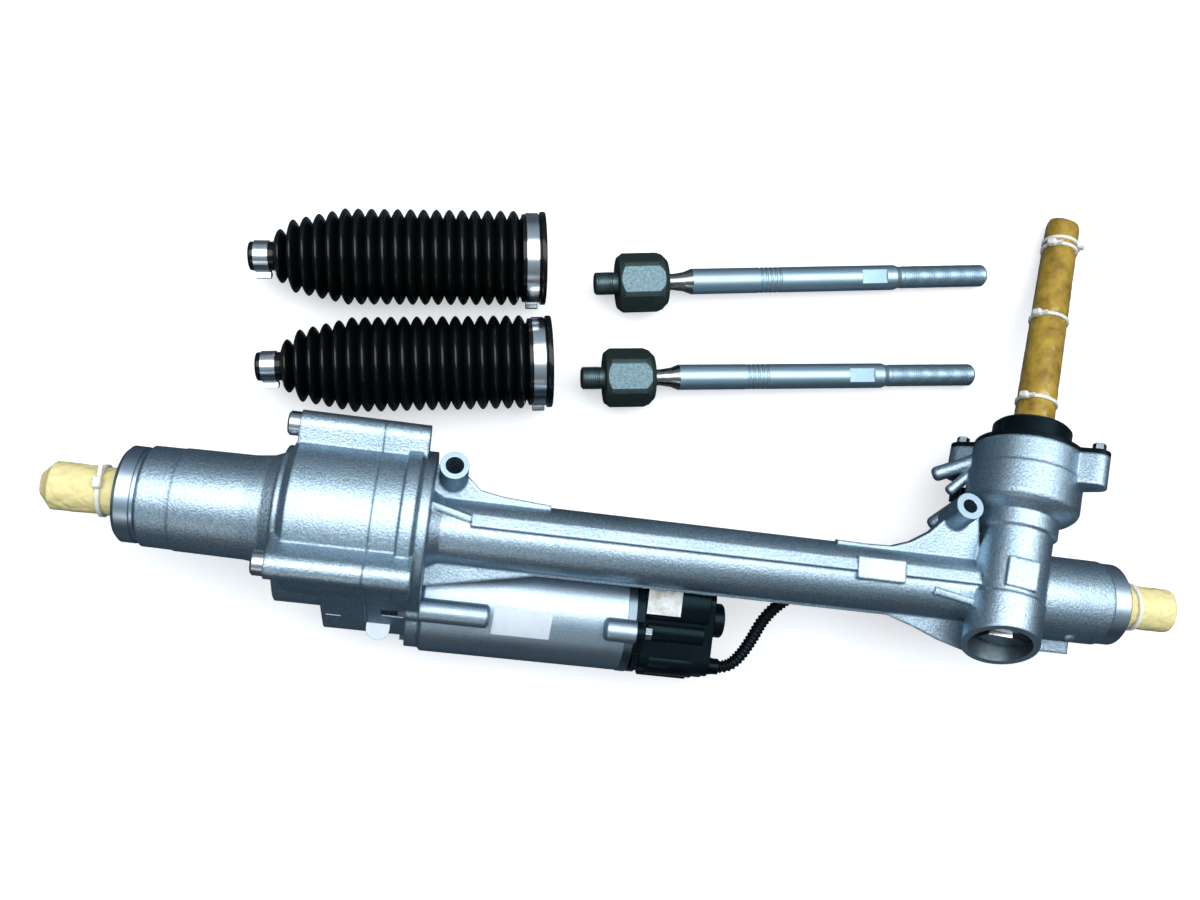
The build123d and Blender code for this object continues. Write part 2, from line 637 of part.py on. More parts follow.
def rack_housing():
    """The long casting: right half of the belt case, tube, pinion tower and right end."""
    barrel = turned_x([
        (0, CASE_SEAM),
        (CASE_RADIUS, CASE_SEAM),
        (CASE_RADIUS, CASE_RIM_LEFT - SMALL_BREAK),
        (CASE_RIM_RADIUS, CASE_RIM_LEFT),
        (CASE_RIM_RADIUS, CASE_RIGHT - RIM_LEAD),
    ] + [(radius, CASE_RIGHT + distance) for distance, radius in TUBE_FLARE] + [
        (TUBE_RADIUS, PINION_STATION),
        (0, PINION_STATION),
    ])
    lobe = belt_run(LOBE_RADIUS - MOTOR_PULLEY_RADIUS, CASE_SEAM, MOTOR_LEFT)
    bosses = [screw_boss(screw, CASE_SEAM, CASE_RIGHT) for screw in CASE_SCREWS]
    tab = joined([
        Pos(*LOBE_TAB) * Box(LOBE_TAB_WIDTH, LOBE_TAB_LENGTH, LOBE_TAB_THICKNESS),
        Pos(*LOBE_TAB) * Pos(0, -LOBE_TAB_REACH, 0) * Cylinder(LOBE_TAB_WIDTH / 2, LOBE_TAB_THICKNESS),
    ])
    motor_flange = rod_x(MOTOR_RADIUS - MOTOR_LEAD, MOTOR_LEFT - MOTOR_PAD_LENGTH, MOTOR_LEFT, MOTOR_Y, MOTOR_Z)
    motor_pads = []
    for angle in MOTOR_BOSS_ANGLES:
        y, z = round_the_motor(angle, MOTOR_BOSS_CIRCLE)
        inner_y, inner_z = round_the_motor(angle, MOTOR_BOSS_CIRCLE * MOTOR_PAD_ROOT)
        circles = [(y, z, MOTOR_BOSS_RADIUS), (inner_y, inner_z, MOTOR_BOSS_RADIUS)]
        motor_pads.append(hull_of_circles(circles, MOTOR_LEFT - MOTOR_PAD_LENGTH, MOTOR_LEFT))
    right_end = turned_x([
        (0, PINION_STATION),
        (RIGHT_CASING_RADIUS, PINION_STATION),
        (RIGHT_CASING_RADIUS, RIGHT_END_FACE - RIGHT_SEAT_WIDTH - SMALL_BREAK),
        (RIGHT_SEAT_RADIUS, RIGHT_END_FACE - RIGHT_SEAT_WIDTH),
        (RIGHT_SEAT_RADIUS, RIGHT_END_FACE - EDGE_BREAK),
        (RIGHT_SEAT_RADIUS - EDGE_BREAK, RIGHT_END_FACE),
        (0, RIGHT_END_FACE),
    ])
    left_barrel, left_bore = eyelet(LEFT_EYELET, LEFT_EYELET_BORE)
    right_barrel, right_bore = eyelet(RIGHT_EYELET, RIGHT_EYELET_BORE)
    lower_fin = fin(LOWER_FIN, RACK_HEIGHT)
    left_fin = fin(LEFT_FIN, RACK_HEIGHT + UPPER_FIN_RISE)
    right_fin = fin(RIGHT_FIN, RACK_HEIGHT + UPPER_FIN_RISE)
    ribs = [Pos(*centre) * Rot(roll, 0, turn) * Box(*size) for centre, (roll, turn), size in CAST_RIBS]
    pad_place = Pos(TOWER_NECK_RADIUS - NECK_PAD_RISE, 0, NECK_PAD_STATION)
    neck_pad = TOWER * Rot(0, 0, NECK_PAD_TURN) * pad_place * Box(*NECK_PAD_SIZE)
    arms = [stub(Vector(*foot), Vector(*tip), radius) for foot, tip, radius in FLANK_ARMS]
    yoke_boss = YOKE_PLANE * Pos(0, 0, YOKE_BOSS_LENGTH / 2) * Cylinder(
        YOKE_RADIUS + YOKE_BOSS_WALL, YOKE_BOSS_LENGTH)
    ears = [tower_ear(angle, COVER_EAR_RADIUS, SENSOR_CASE_TOP - COVER_EAR_HEIGHT, SENSOR_CASE_TOP)
            for angle in COVER_EAR_ANGLES]
    body = joined([barrel, lobe, motor_flange, tab] + bosses + motor_pads)
    body = joined([body, right_end, left_barrel, right_barrel, lower_fin, left_fin, right_fin])
    body = joined([body, yoke_boss, tower_body(), neck_pad] + ribs + ears + arms)
    body -= rod_x(TUBE_BORE, BELT_SPACE_RIGHT - 1, RIGHT_BORE_START)
    body -= rod_x(RIGHT_BORE, RIGHT_BORE_START, RIGHT_END_FACE)
    body -= belt_run(BELT_SPACE_MARGIN, CASE_SEAM, BELT_SPACE_RIGHT)
    body -= rod_x(MOTOR_BEARING_RADIUS - 1, BELT_SPACE_RIGHT - 1, MOTOR_LEFT, MOTOR_Y, MOTOR_Z)
    body -= left_bore
    body -= right_bore
    body -= foot_opening()
    body -= tower_rod(FOOT_BORE, TOWER_FOOT, FOOT_BORE_TOP)
    body -= tower_rod(LOWER_BEARING_RADIUS, FOOT_BORE_TOP, FOOT_BORE_TOP + LOWER_BEARING_WIDTH + 1)
    body -= tower_rod(PINION_BORE, FOOT_BORE_TOP, UPPER_BEARING_BASE)
    body -= tower_rod(UPPER_BEARING_RADIUS, UPPER_BEARING_BASE, SENSOR_FLOOR)
    body -= tower_rod(SENSOR_BORE, SENSOR_FLOOR, SENSOR_CASE_TOP)
    yoke_bore = YOKE_BOSS_LENGTH + SMALL_BREAK - YOKE_BORE_START
    body -= YOKE_PLANE * Pos(0, 0, YOKE_BORE_START + yoke_bore / 2) * Cylinder(YOKE_RADIUS + RUNNING_FIT, yoke_bore)
    for angle in COVER_EAR_ANGLES:
        body -= ear_hole(angle, SENSOR_CASE_TOP - COVER_EAR_HEIGHT + EAR_HOLE_FLOOR, SENSOR_CASE_TOP)
    for passage in screw_passages(CASE_SEAM, CASE_RIGHT - CASE_SCREW_RADIUS / 2):
        body -= passage
    for angle in MOTOR_BOSS_ANGLES:
        y, z = round_the_motor(angle, MOTOR_BOSS_CIRCLE)
        seat = MOTOR_LEFT - MOTOR_PAD_LENGTH
        body -= rod_x(MOTOR_SCREW_RADIUS, seat - 1, MOTOR_LEFT, y, z)
        body -= rod_x(MOTOR_SCREW_POCKET, seat - MOTOR_POCKET_LENGTH, seat, y, z)
    return body


def ear_hole(angle, start, end):
    """The screw hole through one ear of the sensor case."""
    turn = math.radians(angle)
    place = Pos(COVER_EAR_DISTANCE * math.cos(turn), COVER_EAR_DISTANCE * math.sin(turn), (start + end) / 2)
    return TOWER * place * Cylinder(COVER_SCREW_RADIUS, end - start)


def group(pieces):
    """Several separate solids kept in one node."""
    return Compound(children=pieces)


def housing_screws():
    """Flange screws that hold the two housings together."""
    screws = []
    for screw in CASE_SCREWS:
        angle, distance, seat, boss = screw
        y, z = case_screw_place(screw)
        head = rod_x(boss - CASE_HEAD_INSET, seat - CASE_SCREW_HEAD_LENGTH, seat, y, z)
        head = chamfer(head.edges().group_by(Axis.X)[0], HEAD_BREAK)
        shank = rod_x(CASE_SCREW_RADIUS - SCREW_FIT, seat, CASE_RIGHT - CASE_SCREW_RADIUS, y, z)
        screws.append(joined([head, shank]))
    return group(screws)


def nut_bearing():
    """The two races and the balls of the ball nut's bearing."""
    middle = (NUT_LEFT + BEARING_RIGHT) / 2
    ball_circle = (NUT_RADIUS + NUT_BEARING_RADIUS) / 2
    track = Pos(middle, 0, RACK_HEIGHT) * Rot(0, 90, 0) * Torus(ball_circle, NUT_BALL_RADIUS + RUNNING_FIT)
    outer = ring_x(NUT_BEARING_RADIUS, NUT_BEARING_RADIUS - NUT_BEARING_RACE, NUT_LEFT, BEARING_RIGHT) - track
    inner = ring_x(NUT_RADIUS + NUT_BEARING_RACE, NUT_RADIUS, NUT_LEFT, BEARING_RIGHT) - track
    balls = []
    for index in range(NUT_BALLS):
        y, z = round_the_rack(360 * (index + 0.5) / NUT_BALLS, ball_circle)
        balls.append(Pos(middle, y, z) * Sphere(NUT_BALL_RADIUS))
    return outer, inner, group(balls)


def ball_nut():
    """The nut that turns round the rack's ball thread."""
    return turned_x([
        (RACK_RADIUS + RUNNING_FIT, NUT_LEFT),
        (NUT_RADIUS, NUT_LEFT),
        (NUT_RADIUS, BEARING_RIGHT),
        (NUT_RADIUS + NUT_SHOULDER, BEARING_RIGHT),
        (NUT_RADIUS + NUT_SHOULDER, PULLEY_LEFT),
        (NUT_RADIUS, PULLEY_LEFT),
        (NUT_RADIUS, NUT_RIGHT - EDGE_BREAK),
        (NUT_RADIUS - EDGE_BREAK, NUT_RIGHT),
        (RACK_RADIUS + RUNNING_FIT, NUT_RIGHT),
    ])


def lock_ring():
    """The threaded ring that clamps the nut bearing in the left housing."""
    inside = NUT_BEARING_RADIUS - LOCK_RING_WALL
    ring = ring_x(NUT_BEARING_RADIUS, inside, BEARING_RIGHT, BEARING_RIGHT + LOCK_RING_WIDTH)
    for index in range(LOCK_RING_SLOTS):
        turn = 360 * index / LOCK_RING_SLOTS
        y, z = round_the_rack(turn, inside)
        ring -= Pos(BEARING_RIGHT + LOCK_RING_WIDTH, y, z) * Rot(turn, 0, 0) * Box(*LOCK_RING_SLOT)
    return ring


def pulley(radius, bore, y, z):
    """A belt pulley with a guide flange at each end."""
    return turned_x([
        (bore, PULLEY_LEFT),
        (radius + PULLEY_FLANGE, PULLEY_LEFT),
        (radius, PULLEY_LEFT + PULLEY_FLANGE_WIDTH),
        (radius, PULLEY_RIGHT - PULLEY_FLANGE_WIDTH),
        (radius + PULLEY_FLANGE, PULLEY_RIGHT),
        (bore, PULLEY_RIGHT),
    ], y, z)


def drive_belt():
    """The belt that runs round both pulleys."""
    start = BELT_MIDDLE - BELT_WIDTH / 2
    end = BELT_MIDDLE + BELT_WIDTH / 2
    return belt_run(BELT_GAP + BELT_THICKNESS, start, end) - belt_run(BELT_GAP, start, end)


def motor_housing():
    """The motor's can, with its end wall, bearing seat and screw bosses."""
    hub = MOTOR_BEARING_RADIUS + MOTOR_HUB_WALL
    can = turned_x([
        (MOTOR_BEARING_RADIUS, MOTOR_LEFT),
        (MOTOR_RADIUS - MOTOR_LEAD, MOTOR_LEFT),
        (MOTOR_RADIUS, MOTOR_LEFT + MOTOR_LEAD),
        (MOTOR_RADIUS, MOTOR_RIGHT),
        (MOTOR_RADIUS - MOTOR_WALL, MOTOR_RIGHT),
        (MOTOR_RADIUS - MOTOR_WALL, MOTOR_LEFT + MOTOR_END_WALL),
        (hub, MOTOR_LEFT + MOTOR_END_WALL),
        (hub, MOTOR_LEFT + MOTOR_HUB_LENGTH),
        (MOTOR_BEARING_RADIUS, MOTOR_LEFT + MOTOR_HUB_LENGTH),
    ], MOTOR_Y, MOTOR_Z)
    bosses = []
    for angle in MOTOR_BOSS_ANGLES:
        y, z = round_the_motor(angle, MOTOR_BOSS_CIRCLE)
        for start, end in ((MOTOR_LEFT, MOTOR_LEFT + MOTOR_LONG_BOSS), (MOTOR_RIGHT - MOTOR_SHORT_BOSS, MOTOR_RIGHT)):
            boss = rod_x(MOTOR_BOSS_RADIUS, start, end, y, z)
            outer_end = Axis.X if start == MOTOR_LEFT else -Axis.X
            bosses.append(fillet(boss.edges().group_by(outer_end)[-1], MOTOR_BOSS_RADIUS * MOTOR_BOSS_ROUND))
    cavity = rod_x(MOTOR_RADIUS - MOTOR_WALL, MOTOR_LEFT + MOTOR_END_WALL, MOTOR_RIGHT, MOTOR_Y, MOTOR_Z)
    body = joined([can] + bosses) - (cavity - rod_x(hub, MOTOR_LEFT, MOTOR_LEFT + MOTOR_HUB_LENGTH,
                                                    MOTOR_Y, MOTOR_Z))
    for angle in MOTOR_BOSS_ANGLES:
        y, z = round_the_motor(angle, MOTOR_BOSS_CIRCLE)
        body -= rod_x(MOTOR_SCREW_RADIUS, MOTOR_LEFT, MOTOR_LEFT + LONG_THREAD, y, z)
        body -= rod_x(MOTOR_SCREW_RADIUS, MOTOR_RIGHT - SHORT_THREAD, MOTOR_RIGHT, y, z)
    return body


def stator():
    """The laminated stator and the windings in its slots."""
    bore = ROTOR_RADIUS + AIR_GAP
    outer = MOTOR_RADIUS - MOTOR_WALL
    back = outer - STATOR_YOKE
    core = ring_x(outer, bore, ROTOR_LEFT, ROTOR_RIGHT, MOTOR_Y, MOTOR_Z)
    slot_profile = Pos((bore + back) / 2, 0) * Rectangle(back - bore + SLOT_OPENING, STATOR_SLOT)
    slots = []
    for index in range(STATOR_TEETH):
        turned_slot = Rot(0, 0, 360 * (index + 0.5) / STATOR_TEETH) * slot_profile
        place = Plane.YZ.offset(ROTOR_LEFT) * Pos(MOTOR_Y, MOTOR_Z)
        slots.append(extrude(place * turned_slot, ROTOR_RIGHT - ROTOR_LEFT))
    core = core.cut(*slots)
    inner = bore + COIL_INSET
    coils = [ring_x(back, inner, ROTOR_LEFT - END_TURN, ROTOR_LEFT, MOTOR_Y, MOTOR_Z),
             ring_x(back, inner, ROTOR_RIGHT, ROTOR_RIGHT + END_TURN, MOTOR_Y, MOTOR_Z)]
    inside = ring_x(back, inner, ROTOR_LEFT, ROTOR_RIGHT, MOTOR_Y, MOTOR_Z)
    bars = [slot & inside for slot in slots]
    return core, joined(coils + bars)


def motor_bearings():
    """The two sealed bearings of the motor shaft."""
    places = (MOTOR_LEFT + 1, UNIT_BEARING_LEFT)
    inner = MOTOR_SHAFT_RADIUS + RUNNING_FIT
    return group([ring_x(MOTOR_BEARING_RADIUS, inner, left, left + MOTOR_BEARING_WIDTH, MOTOR_Y, MOTOR_Z)
                  for left in places])


def motor_shaft():
    """The motor shaft, from the belt pulley to the control unit."""
    return turned_x([
        (0, PULLEY_LEFT - 2),
        (MOTOR_SHAFT_RADIUS - 1, PULLEY_LEFT - 2),
        (MOTOR_SHAFT_RADIUS, PULLEY_LEFT - 1),
        (MOTOR_SHAFT_RADIUS, MOTOR_RIGHT - 1),
        (0, MOTOR_RIGHT - 1),
    ], MOTOR_Y, MOTOR_Z)


def motor_screws():
    """Screws through the rack housing's pads into the motor's long bosses."""
    screws = []
    for angle in MOTOR_BOSS_ANGLES:
        y, z = round_the_motor(angle, MOTOR_BOSS_CIRCLE)
        seat = MOTOR_LEFT - MOTOR_PAD_LENGTH
        head = Pos(seat - SCREW_HEAD_HEIGHT, y, z) * Rot(0, 90, 0) * hex_prism(MOTOR_HEAD_FLATS, SCREW_HEAD_HEIGHT)
        shank = rod_x(MOTOR_SCREW_RADIUS - SCREW_FIT, seat, MOTOR_LEFT + LONG_THREAD - SMALL_BREAK, y, z)
        screws.append(joined([head, shank]))
    return group(screws)


def unit_screws():
    """Screws that hold the control unit on the motor."""
    screws = []
    for angle in MOTOR_BOSS_ANGLES:
        y, z = round_the_motor(angle, MOTOR_BOSS_CIRCLE)
        seat = MOTOR_RIGHT + UNIT_PLATE_WIDTH
        head = Pos(seat, y, z) * Rot(0, 90, 0) * hex_prism(UNIT_HEAD_FLATS, SCREW_HEAD_HEIGHT)
        shank = rod_x(MOTOR_SCREW_RADIUS - SCREW_FIT, MOTOR_RIGHT - SHORT_THREAD + SMALL_BREAK, seat, y, z)
        screws.append(joined([head, shank]))
    return group(screws)


def unit_plate():
    """The plate between motor and control unit, with the rear bearing seat."""
    start = MOTOR_RIGHT
    end = MOTOR_RIGHT + UNIT_PLATE_WIDTH
    plate = turned_x([
        (0, end),
        (MOTOR_RADIUS, end),
        (MOTOR_RADIUS, start),
        (MOTOR_BEARING_RADIUS + MOTOR_WALL, start),
        (MOTOR_BEARING_RADIUS + MOTOR_WALL, UNIT_BEARING_LEFT),
        (MOTOR_BEARING_RADIUS, UNIT_BEARING_LEFT),
        (MOTOR_BEARING_RADIUS, start + SMALL_BREAK),
        (0, start + SMALL_BREAK),
    ], MOTOR_Y, MOTOR_Z)
    ears = []
    for angle in MOTOR_BOSS_ANGLES:
        y, z = round_the_motor(angle, MOTOR_BOSS_CIRCLE)
        ears.append(rod_x(MOTOR_BOSS_RADIUS - SMALL_BREAK, start, end, y, z))
    plate = joined([plate] + ears)
    for angle in MOTOR_BOSS_ANGLES:
        y, z = round_the_motor(angle, MOTOR_BOSS_CIRCLE)
        plate -= rod_x(MOTOR_SCREW_RADIUS, start, end, y, z)
    return plate


def unit_outline(shrink=0.0):
    """The control unit's rounded outline, seen along the rack."""
    outline = Pos(MOTOR_Y + UNIT_OFFSET_Y, MOTOR_Z) * RectangleRounded(
        UNIT_WIDTH - 2 * shrink, UNIT_HEIGHT - 2 * shrink, UNIT_CORNER - shrink)
    return outline


def unit_cover():
    """The control unit's black cover, with the header for the sensor plug."""
    start = MOTOR_RIGHT + UNIT_PLATE_WIDTH
    block = extrude(Plane.YZ.offset(start) * unit_outline(), UNIT_LENGTH)
    pocket = PLUG_RADIUS + PLUG_GAP
    header = rod_x(PLUG_RADIUS, start + HEADER_START, PLUG_LEFT, PLUG_Y, PLUG_Z)
    body = joined([block, header])
    cavity = extrude(Plane.YZ.offset(start) * unit_outline(UNIT_WALL), UNIT_LENGTH - UNIT_WALL)
    body -= cavity - rod_x(pocket + UNIT_WALL, start + HEADER_WALL_START, start + UNIT_LENGTH, PLUG_Y, PLUG_Z)
    body -= rod_x(pocket, PLUG_LEFT, start + UNIT_LENGTH, PLUG_Y, PLUG_Z)
    body -= Pos(PLUG_LEFT + LATCH_SLOT[0] / 2, PLUG_Y, PLUG_Z + PLUG_RADIUS) * Box(*LATCH_SLOT)
    for angle in MOTOR_BOSS_ANGLES:
        y, z = round_the_motor(angle, MOTOR_BOSS_CIRCLE)
        body -= rod_x(MOTOR_BOSS_RADIUS, start, start + UNIT_NOTCH, y, z)
    return body


def circuit_board():
    """The control unit's board, standing on the plate."""
    start = MOTOR_RIGHT + UNIT_PLATE_WIDTH
    place = Pos(start + BOARD_STATION, MOTOR_Y + UNIT_OFFSET_Y, MOTOR_Z)
    board = place * Box(BOARD_THICKNESS, UNIT_WIDTH - 2 * BOARD_INSET, UNIT_HEIGHT - 2 * BOARD_INSET)
    posts = []
    for side in (-1, 1):
        for level in (-1, 1):
            y = MOTOR_Y + UNIT_OFFSET_Y + side * (UNIT_WIDTH / 2 - POST_INSET)
            z = MOTOR_Z + level * (UNIT_HEIGHT / 2 - POST_INSET)
            posts.append(rod_x(POST_RADIUS, start, start + BOARD_STATION, y, z))
    return joined([board] + posts)


def power_connector():
    """The round power and signal socket on the end of the control unit."""
    start = MOTOR_RIGHT + UNIT_PLATE_WIDTH + UNIT_LENGTH
    end = start + SOCKET_LENGTH_OUT
    return turned_x([
        (0, start),
        (SOCKET_OUTER, start),
        (SOCKET_OUTER, end - SMALL_BREAK),
        (SOCKET_OUTER - SMALL_BREAK, end),
        (SOCKET_INNER, end),
        (SOCKET_INNER, start + SOCKET_FLOOR),
        (0, start + SOCKET_FLOOR),
    ], MOTOR_Y + SOCKET_OFFSET_Y, MOTOR_Z + SOCKET_OFFSET_Z)


def sensor_plug():
    """The plug that the sensor cable ends in, with its latch."""
    end = CABLE_ROUTE[0][0] - CABLE_START_GAP
    rings = [(radius, PLUG_LEFT + station) for station, radius in PLUG_PROFILE]
    body = turned_x([(0, PLUG_LEFT)] + rings + [(rings[-1][0], end), (0, end)], PLUG_Y, PLUG_Z)
    latch = Pos(PLUG_LEFT + LATCH_SIZE[0] / 2, PLUG_Y, PLUG_Z + PLUG_RADIUS) * Box(*LATCH_SIZE)
    return joined([body, latch])


def sensor_connector():
    """The sensor's plug under the sensor case, where the cable ends."""
    end = CABLE_ROUTE[-1]
    place = Pos(end[0], end[1] + FREE_GAP + CONNECTOR_LENGTH / 2, end[2])
    block = place * Box(CONNECTOR_WIDTH, CONNECTOR_LENGTH, CONNECTOR_HEIGHT)
    return fillet(block.edges().filter_by(Axis.Y), CONNECTOR_ROUND) - tower_body()


def cable_path():
    """The cable's centre line: straight runs joined by arcs as large as the runs allow."""
    points = [Vector(*point) for point in CABLE_ROUTE]
    radii = []
    for before, corner, after in zip(points, points[1:], points[2:]):
        turn = (corner - before).get_angle(after - corner)
        shorter = min((corner - before).length, (after - corner).length)
        radii.append(ARC_SHARE * shorter / math.tan(math.radians(turn) / 2))
    print("cable radii", [round(radius, 1) for radius in radii])
    return FilletPolyline(*points, radius=radii)


def sensor_cable():
    """The corrugated sensor cable, which passes under the tube."""
    path = cable_path()
    section = Plane(origin=path @ 0, z_dir=path % 0) * Circle(CABLE_RADIUS)
    return sweep(section, path=path)


def pinion_outline():
    """The pinion's outline: involute flanks on a radial root."""
    base = PITCH_RADIUS * math.cos(PRESSURE_ANGLE)
    half_pitch = TOOTH_PITCH / 4 + PROFILE_SHIFT * math.tan(PRESSURE_ANGLE) - BACKLASH / 2
    start_angle = math.tan(PRESSURE_ANGLE) - PRESSURE_ANGLE
    half_tooth = half_pitch / PITCH_RADIUS + start_angle
    flank = []
    for step in range(FLANK_POINTS):
        radius = base + (PINION_TIP - base) * step / (FLANK_POINTS - 1)
        pressure = math.acos(base / radius)
        flank.append((radius, half_tooth - (math.tan(pressure) - pressure)))
    tooth = [(PINION_ROOT, half_tooth)] + flank
    points = []
    for index in range(PINION_TEETH):
        centre = math.pi + 2 * math.pi * index / PINION_TEETH
        points += [(r * math.cos(centre - a), r * math.sin(centre - a)) for r, a in tooth]
        points += [(r * math.cos(centre + a), r * math.sin(centre + a)) for r, a in reversed(tooth)]
    return make_face(Polyline(*points, close=True))


def pinion_shaft():
    """The pinion with its journals and the hollow top for the input shaft."""
    teeth = extrude(TOWER.offset(-PINION_FACE / 2) * pinion_outline(), PINION_FACE)
    foot = PINION_FOOT
    core = PINION_ROOT - SCREW_FIT
    journals = TOWER * turned([
        (0, foot),
        (LOWER_JOURNAL - SMALL_BREAK, foot),
        (LOWER_JOURNAL, foot + SMALL_BREAK),
        (LOWER_JOURNAL, -PINION_FACE / 2 + SMALL_BREAK),
        (core, -PINION_FACE / 2 + SMALL_BREAK),
        (core, PINION_FACE / 2 - SMALL_BREAK),
        (UPPER_JOURNAL, PINION_FACE / 2 + SMALL_BREAK),
        (UPPER_JOURNAL, PINION_TOP),
        (0, PINION_TOP),
    ])
    body = joined([teeth, journals])
    body -= tower_rod(SPIGOT_RADIUS + RUNNING_FIT, SPIGOT_FOOT - SMALL_BREAK, PINION_TOP)
    body -= tower_rod(TORSION_RADIUS, TORSION_FOOT, SPIGOT_FOOT)
    return body


def input_shaft():
    """The steering input shaft, hollow over the torsion bar."""
    return TOWER * turned([
        (TORSION_RADIUS + FREE_GAP, SPIGOT_FOOT),
        (SPIGOT_RADIUS, SPIGOT_FOOT),
        (SPIGOT_RADIUS, PINION_TOP + SMALL_BREAK),
        (INPUT_RADIUS, PINION_TOP + SMALL_BREAK),
        (INPUT_RADIUS, INPUT_END - EDGE_BREAK),
        (INPUT_RADIUS - EDGE_BREAK, INPUT_END),
        (0, INPUT_END),
        (0, TORSION_TOP + SMALL_BREAK),
        (TORSION_RADIUS + RUNNING_FIT, TORSION_TOP + SMALL_BREAK),
        (TORSION_RADIUS + RUNNING_FIT, TORSION_TOP - TORSION_GRIP),
        (TORSION_RADIUS + FREE_GAP, TORSION_TOP - TORSION_GRIP - SMALL_BREAK),
    ])


def sensor_cover():
    """The black cap with its collar that closes the torque sensor."""
    top = SENSOR_CASE_TOP
    cap = TOWER * turned([
        (INPUT_RADIUS + FREE_GAP, top),
        (SENSOR_CASE_RADIUS - SEAM_STEP, top),
        (SENSOR_CASE_RADIUS - SEAM_STEP, top + COVER_FLANGE),
        (COVER_COLLAR_RADIUS + COLLAR_LEAD, COVER_COLLAR_BASE - COLLAR_LEAD),
        (COVER_COLLAR_RADIUS, COVER_COLLAR_BASE),
        (COVER_COLLAR_RADIUS, COVER_COLLAR_TOP - COLLAR_LEAD),
        (COVER_COLLAR_RADIUS - COLLAR_LEAD, COVER_COLLAR_TOP),
        (INPUT_RADIUS + FREE_GAP, COVER_COLLAR_TOP),
    ])
    ears = [tower_ear(angle, COVER_EAR_RADIUS, top, top + COVER_FLANGE) for angle in COVER_EAR_ANGLES]
    body = joined([cap] + ears)
    body -= tower_rod(INPUT_BEARING_RADIUS, INPUT_BEARING_BASE, COVER_COLLAR_TOP)
    for angle in COVER_EAR_ANGLES:
        body -= ear_hole(angle, top, top + COVER_FLANGE)
    return body


def cover_screws():
    """Screws through the cover's ears."""
    screws = []
    top = SENSOR_CASE_TOP + COVER_FLANGE
    for angle in COVER_EAR_ANGLES:
        turn = math.radians(angle)
        place = Pos(COVER_EAR_DISTANCE * math.cos(turn), COVER_EAR_DISTANCE * math.sin(turn), 0)
        length = COVER_EAR_HEIGHT - EAR_HOLE_FLOOR + COVER_FLANGE - EDGE_BREAK
        shank = Pos(0, 0, top - length / 2) * Cylinder(COVER_SCREW_RADIUS - SCREW_FIT, length)
        washer = Pos(0, 0, top + WASHER_HEIGHT / 2) * Cylinder(WASHER_RADIUS, WASHER_HEIGHT)
        head = Pos(0, 0, top + WASHER_HEIGHT) * hex_prism(UNIT_HEAD_FLATS, SCREW_HEAD_HEIGHT)
        screws.append(TOWER * place * joined([shank, washer, head]))
    return group(screws)


def wrapped_tie(radius, place, angle):
    """A cable tie round a wrapping, with its small square head."""
    band = Cylinder(radius + TIE_THICKNESS, TIE_WIDTH) - Cylinder(radius, TIE_WIDTH)
    head = Rot(0, 0, angle) * Pos(radius + TIE_HEAD[0] / 2, 0, 0) * Box(*TIE_HEAD)
    return place * joined([band, head])


def shaft_wrap_radius(station):
    """The film's outer radius, which narrows towards the tip."""
    share = (station - COVER_COLLAR_TOP) / (SHAFT_WRAP_TIP - COVER_COLLAR_TOP)
    return SHAFT_WRAP_BASE + (SHAFT_WRAP_END - SHAFT_WRAP_BASE) * share


def shaft_ties():
    """The cable ties on the wrapped input shaft."""
    return group([wrapped_tie(shaft_wrap_radius(station - TIE_WIDTH), TOWER * Pos(0, 0, station), SHAFT_TIE_ANGLE)
                  for station in SHAFT_TIE_STATIONS])


def shaft_wrap():
    """The protective film rolled round the input shaft."""
    return TOWER * turned([
        (INPUT_RADIUS, COVER_COLLAR_TOP + FREE_GAP),
        (SHAFT_WRAP_BASE, COVER_COLLAR_TOP + FREE_GAP),
        (shaft_wrap_radius(SHAFT_WRAP_TIP - WRAP_TIP_LENGTH), SHAFT_WRAP_TIP - WRAP_TIP_LENGTH),
        (SHAFT_WRAP_END - WRAP_TIP_INSET, SHAFT_WRAP_TIP),
        (0, SHAFT_WRAP_TIP),
        (0, INPUT_END),
        (INPUT_RADIUS - EDGE_BREAK, INPUT_END),
        (INPUT_RADIUS, INPUT_END - EDGE_BREAK),
    ])


def yoke():
    """The support yoke, hollowed to the rack's round back."""
    length = YOKE_BACK - 2 * YOKE_CLEARANCE
    body = YOKE_PLANE * Pos(0, 0, YOKE_BACK - length / 2) * Cylinder(YOKE_RADIUS, length)
    body -= rod_x(RACK_RADIUS + RUNNING_FIT, PINION_STATION - 2 * YOKE_RADIUS, PINION_STATION + 2 * YOKE_RADIUS)
    body -= YOKE_PLANE * Pos(0, 0, YOKE_BACK - YOKE_POCKET_DEPTH / 2) * Cylinder(YOKE_POCKET_RADIUS, YOKE_POCKET_DEPTH)
    return body


def yoke_spring():
    """A stack of two disc springs behind the yoke."""
    bottom = YOKE_BACK - YOKE_POCKET_DEPTH
    return YOKE_PLANE * turned([(radius, bottom + height) for radius, height in DISC_SPRING_PROFILE])


def yoke_plug():
    """The threaded plug that sets the yoke's play, with its hexagon socket."""
    plug = Pos(0, 0, YOKE_BACK + YOKE_PLUG_LENGTH / 2) * Cylinder(YOKE_RADIUS, YOKE_PLUG_LENGTH)
    plug += Pos(0, 0, YOKE_BACK - YOKE_SPIGOT_HEIGHT / 2) * Cylinder(YOKE_SPIGOT_RADIUS, YOKE_SPIGOT_HEIGHT)
    plug -= Pos(0, 0, YOKE_BACK + YOKE_PLUG_LENGTH / 3) * hex_prism(YOKE_SOCKET_FLATS, YOKE_PLUG_LENGTH)
    return YOKE_PLANE * plug


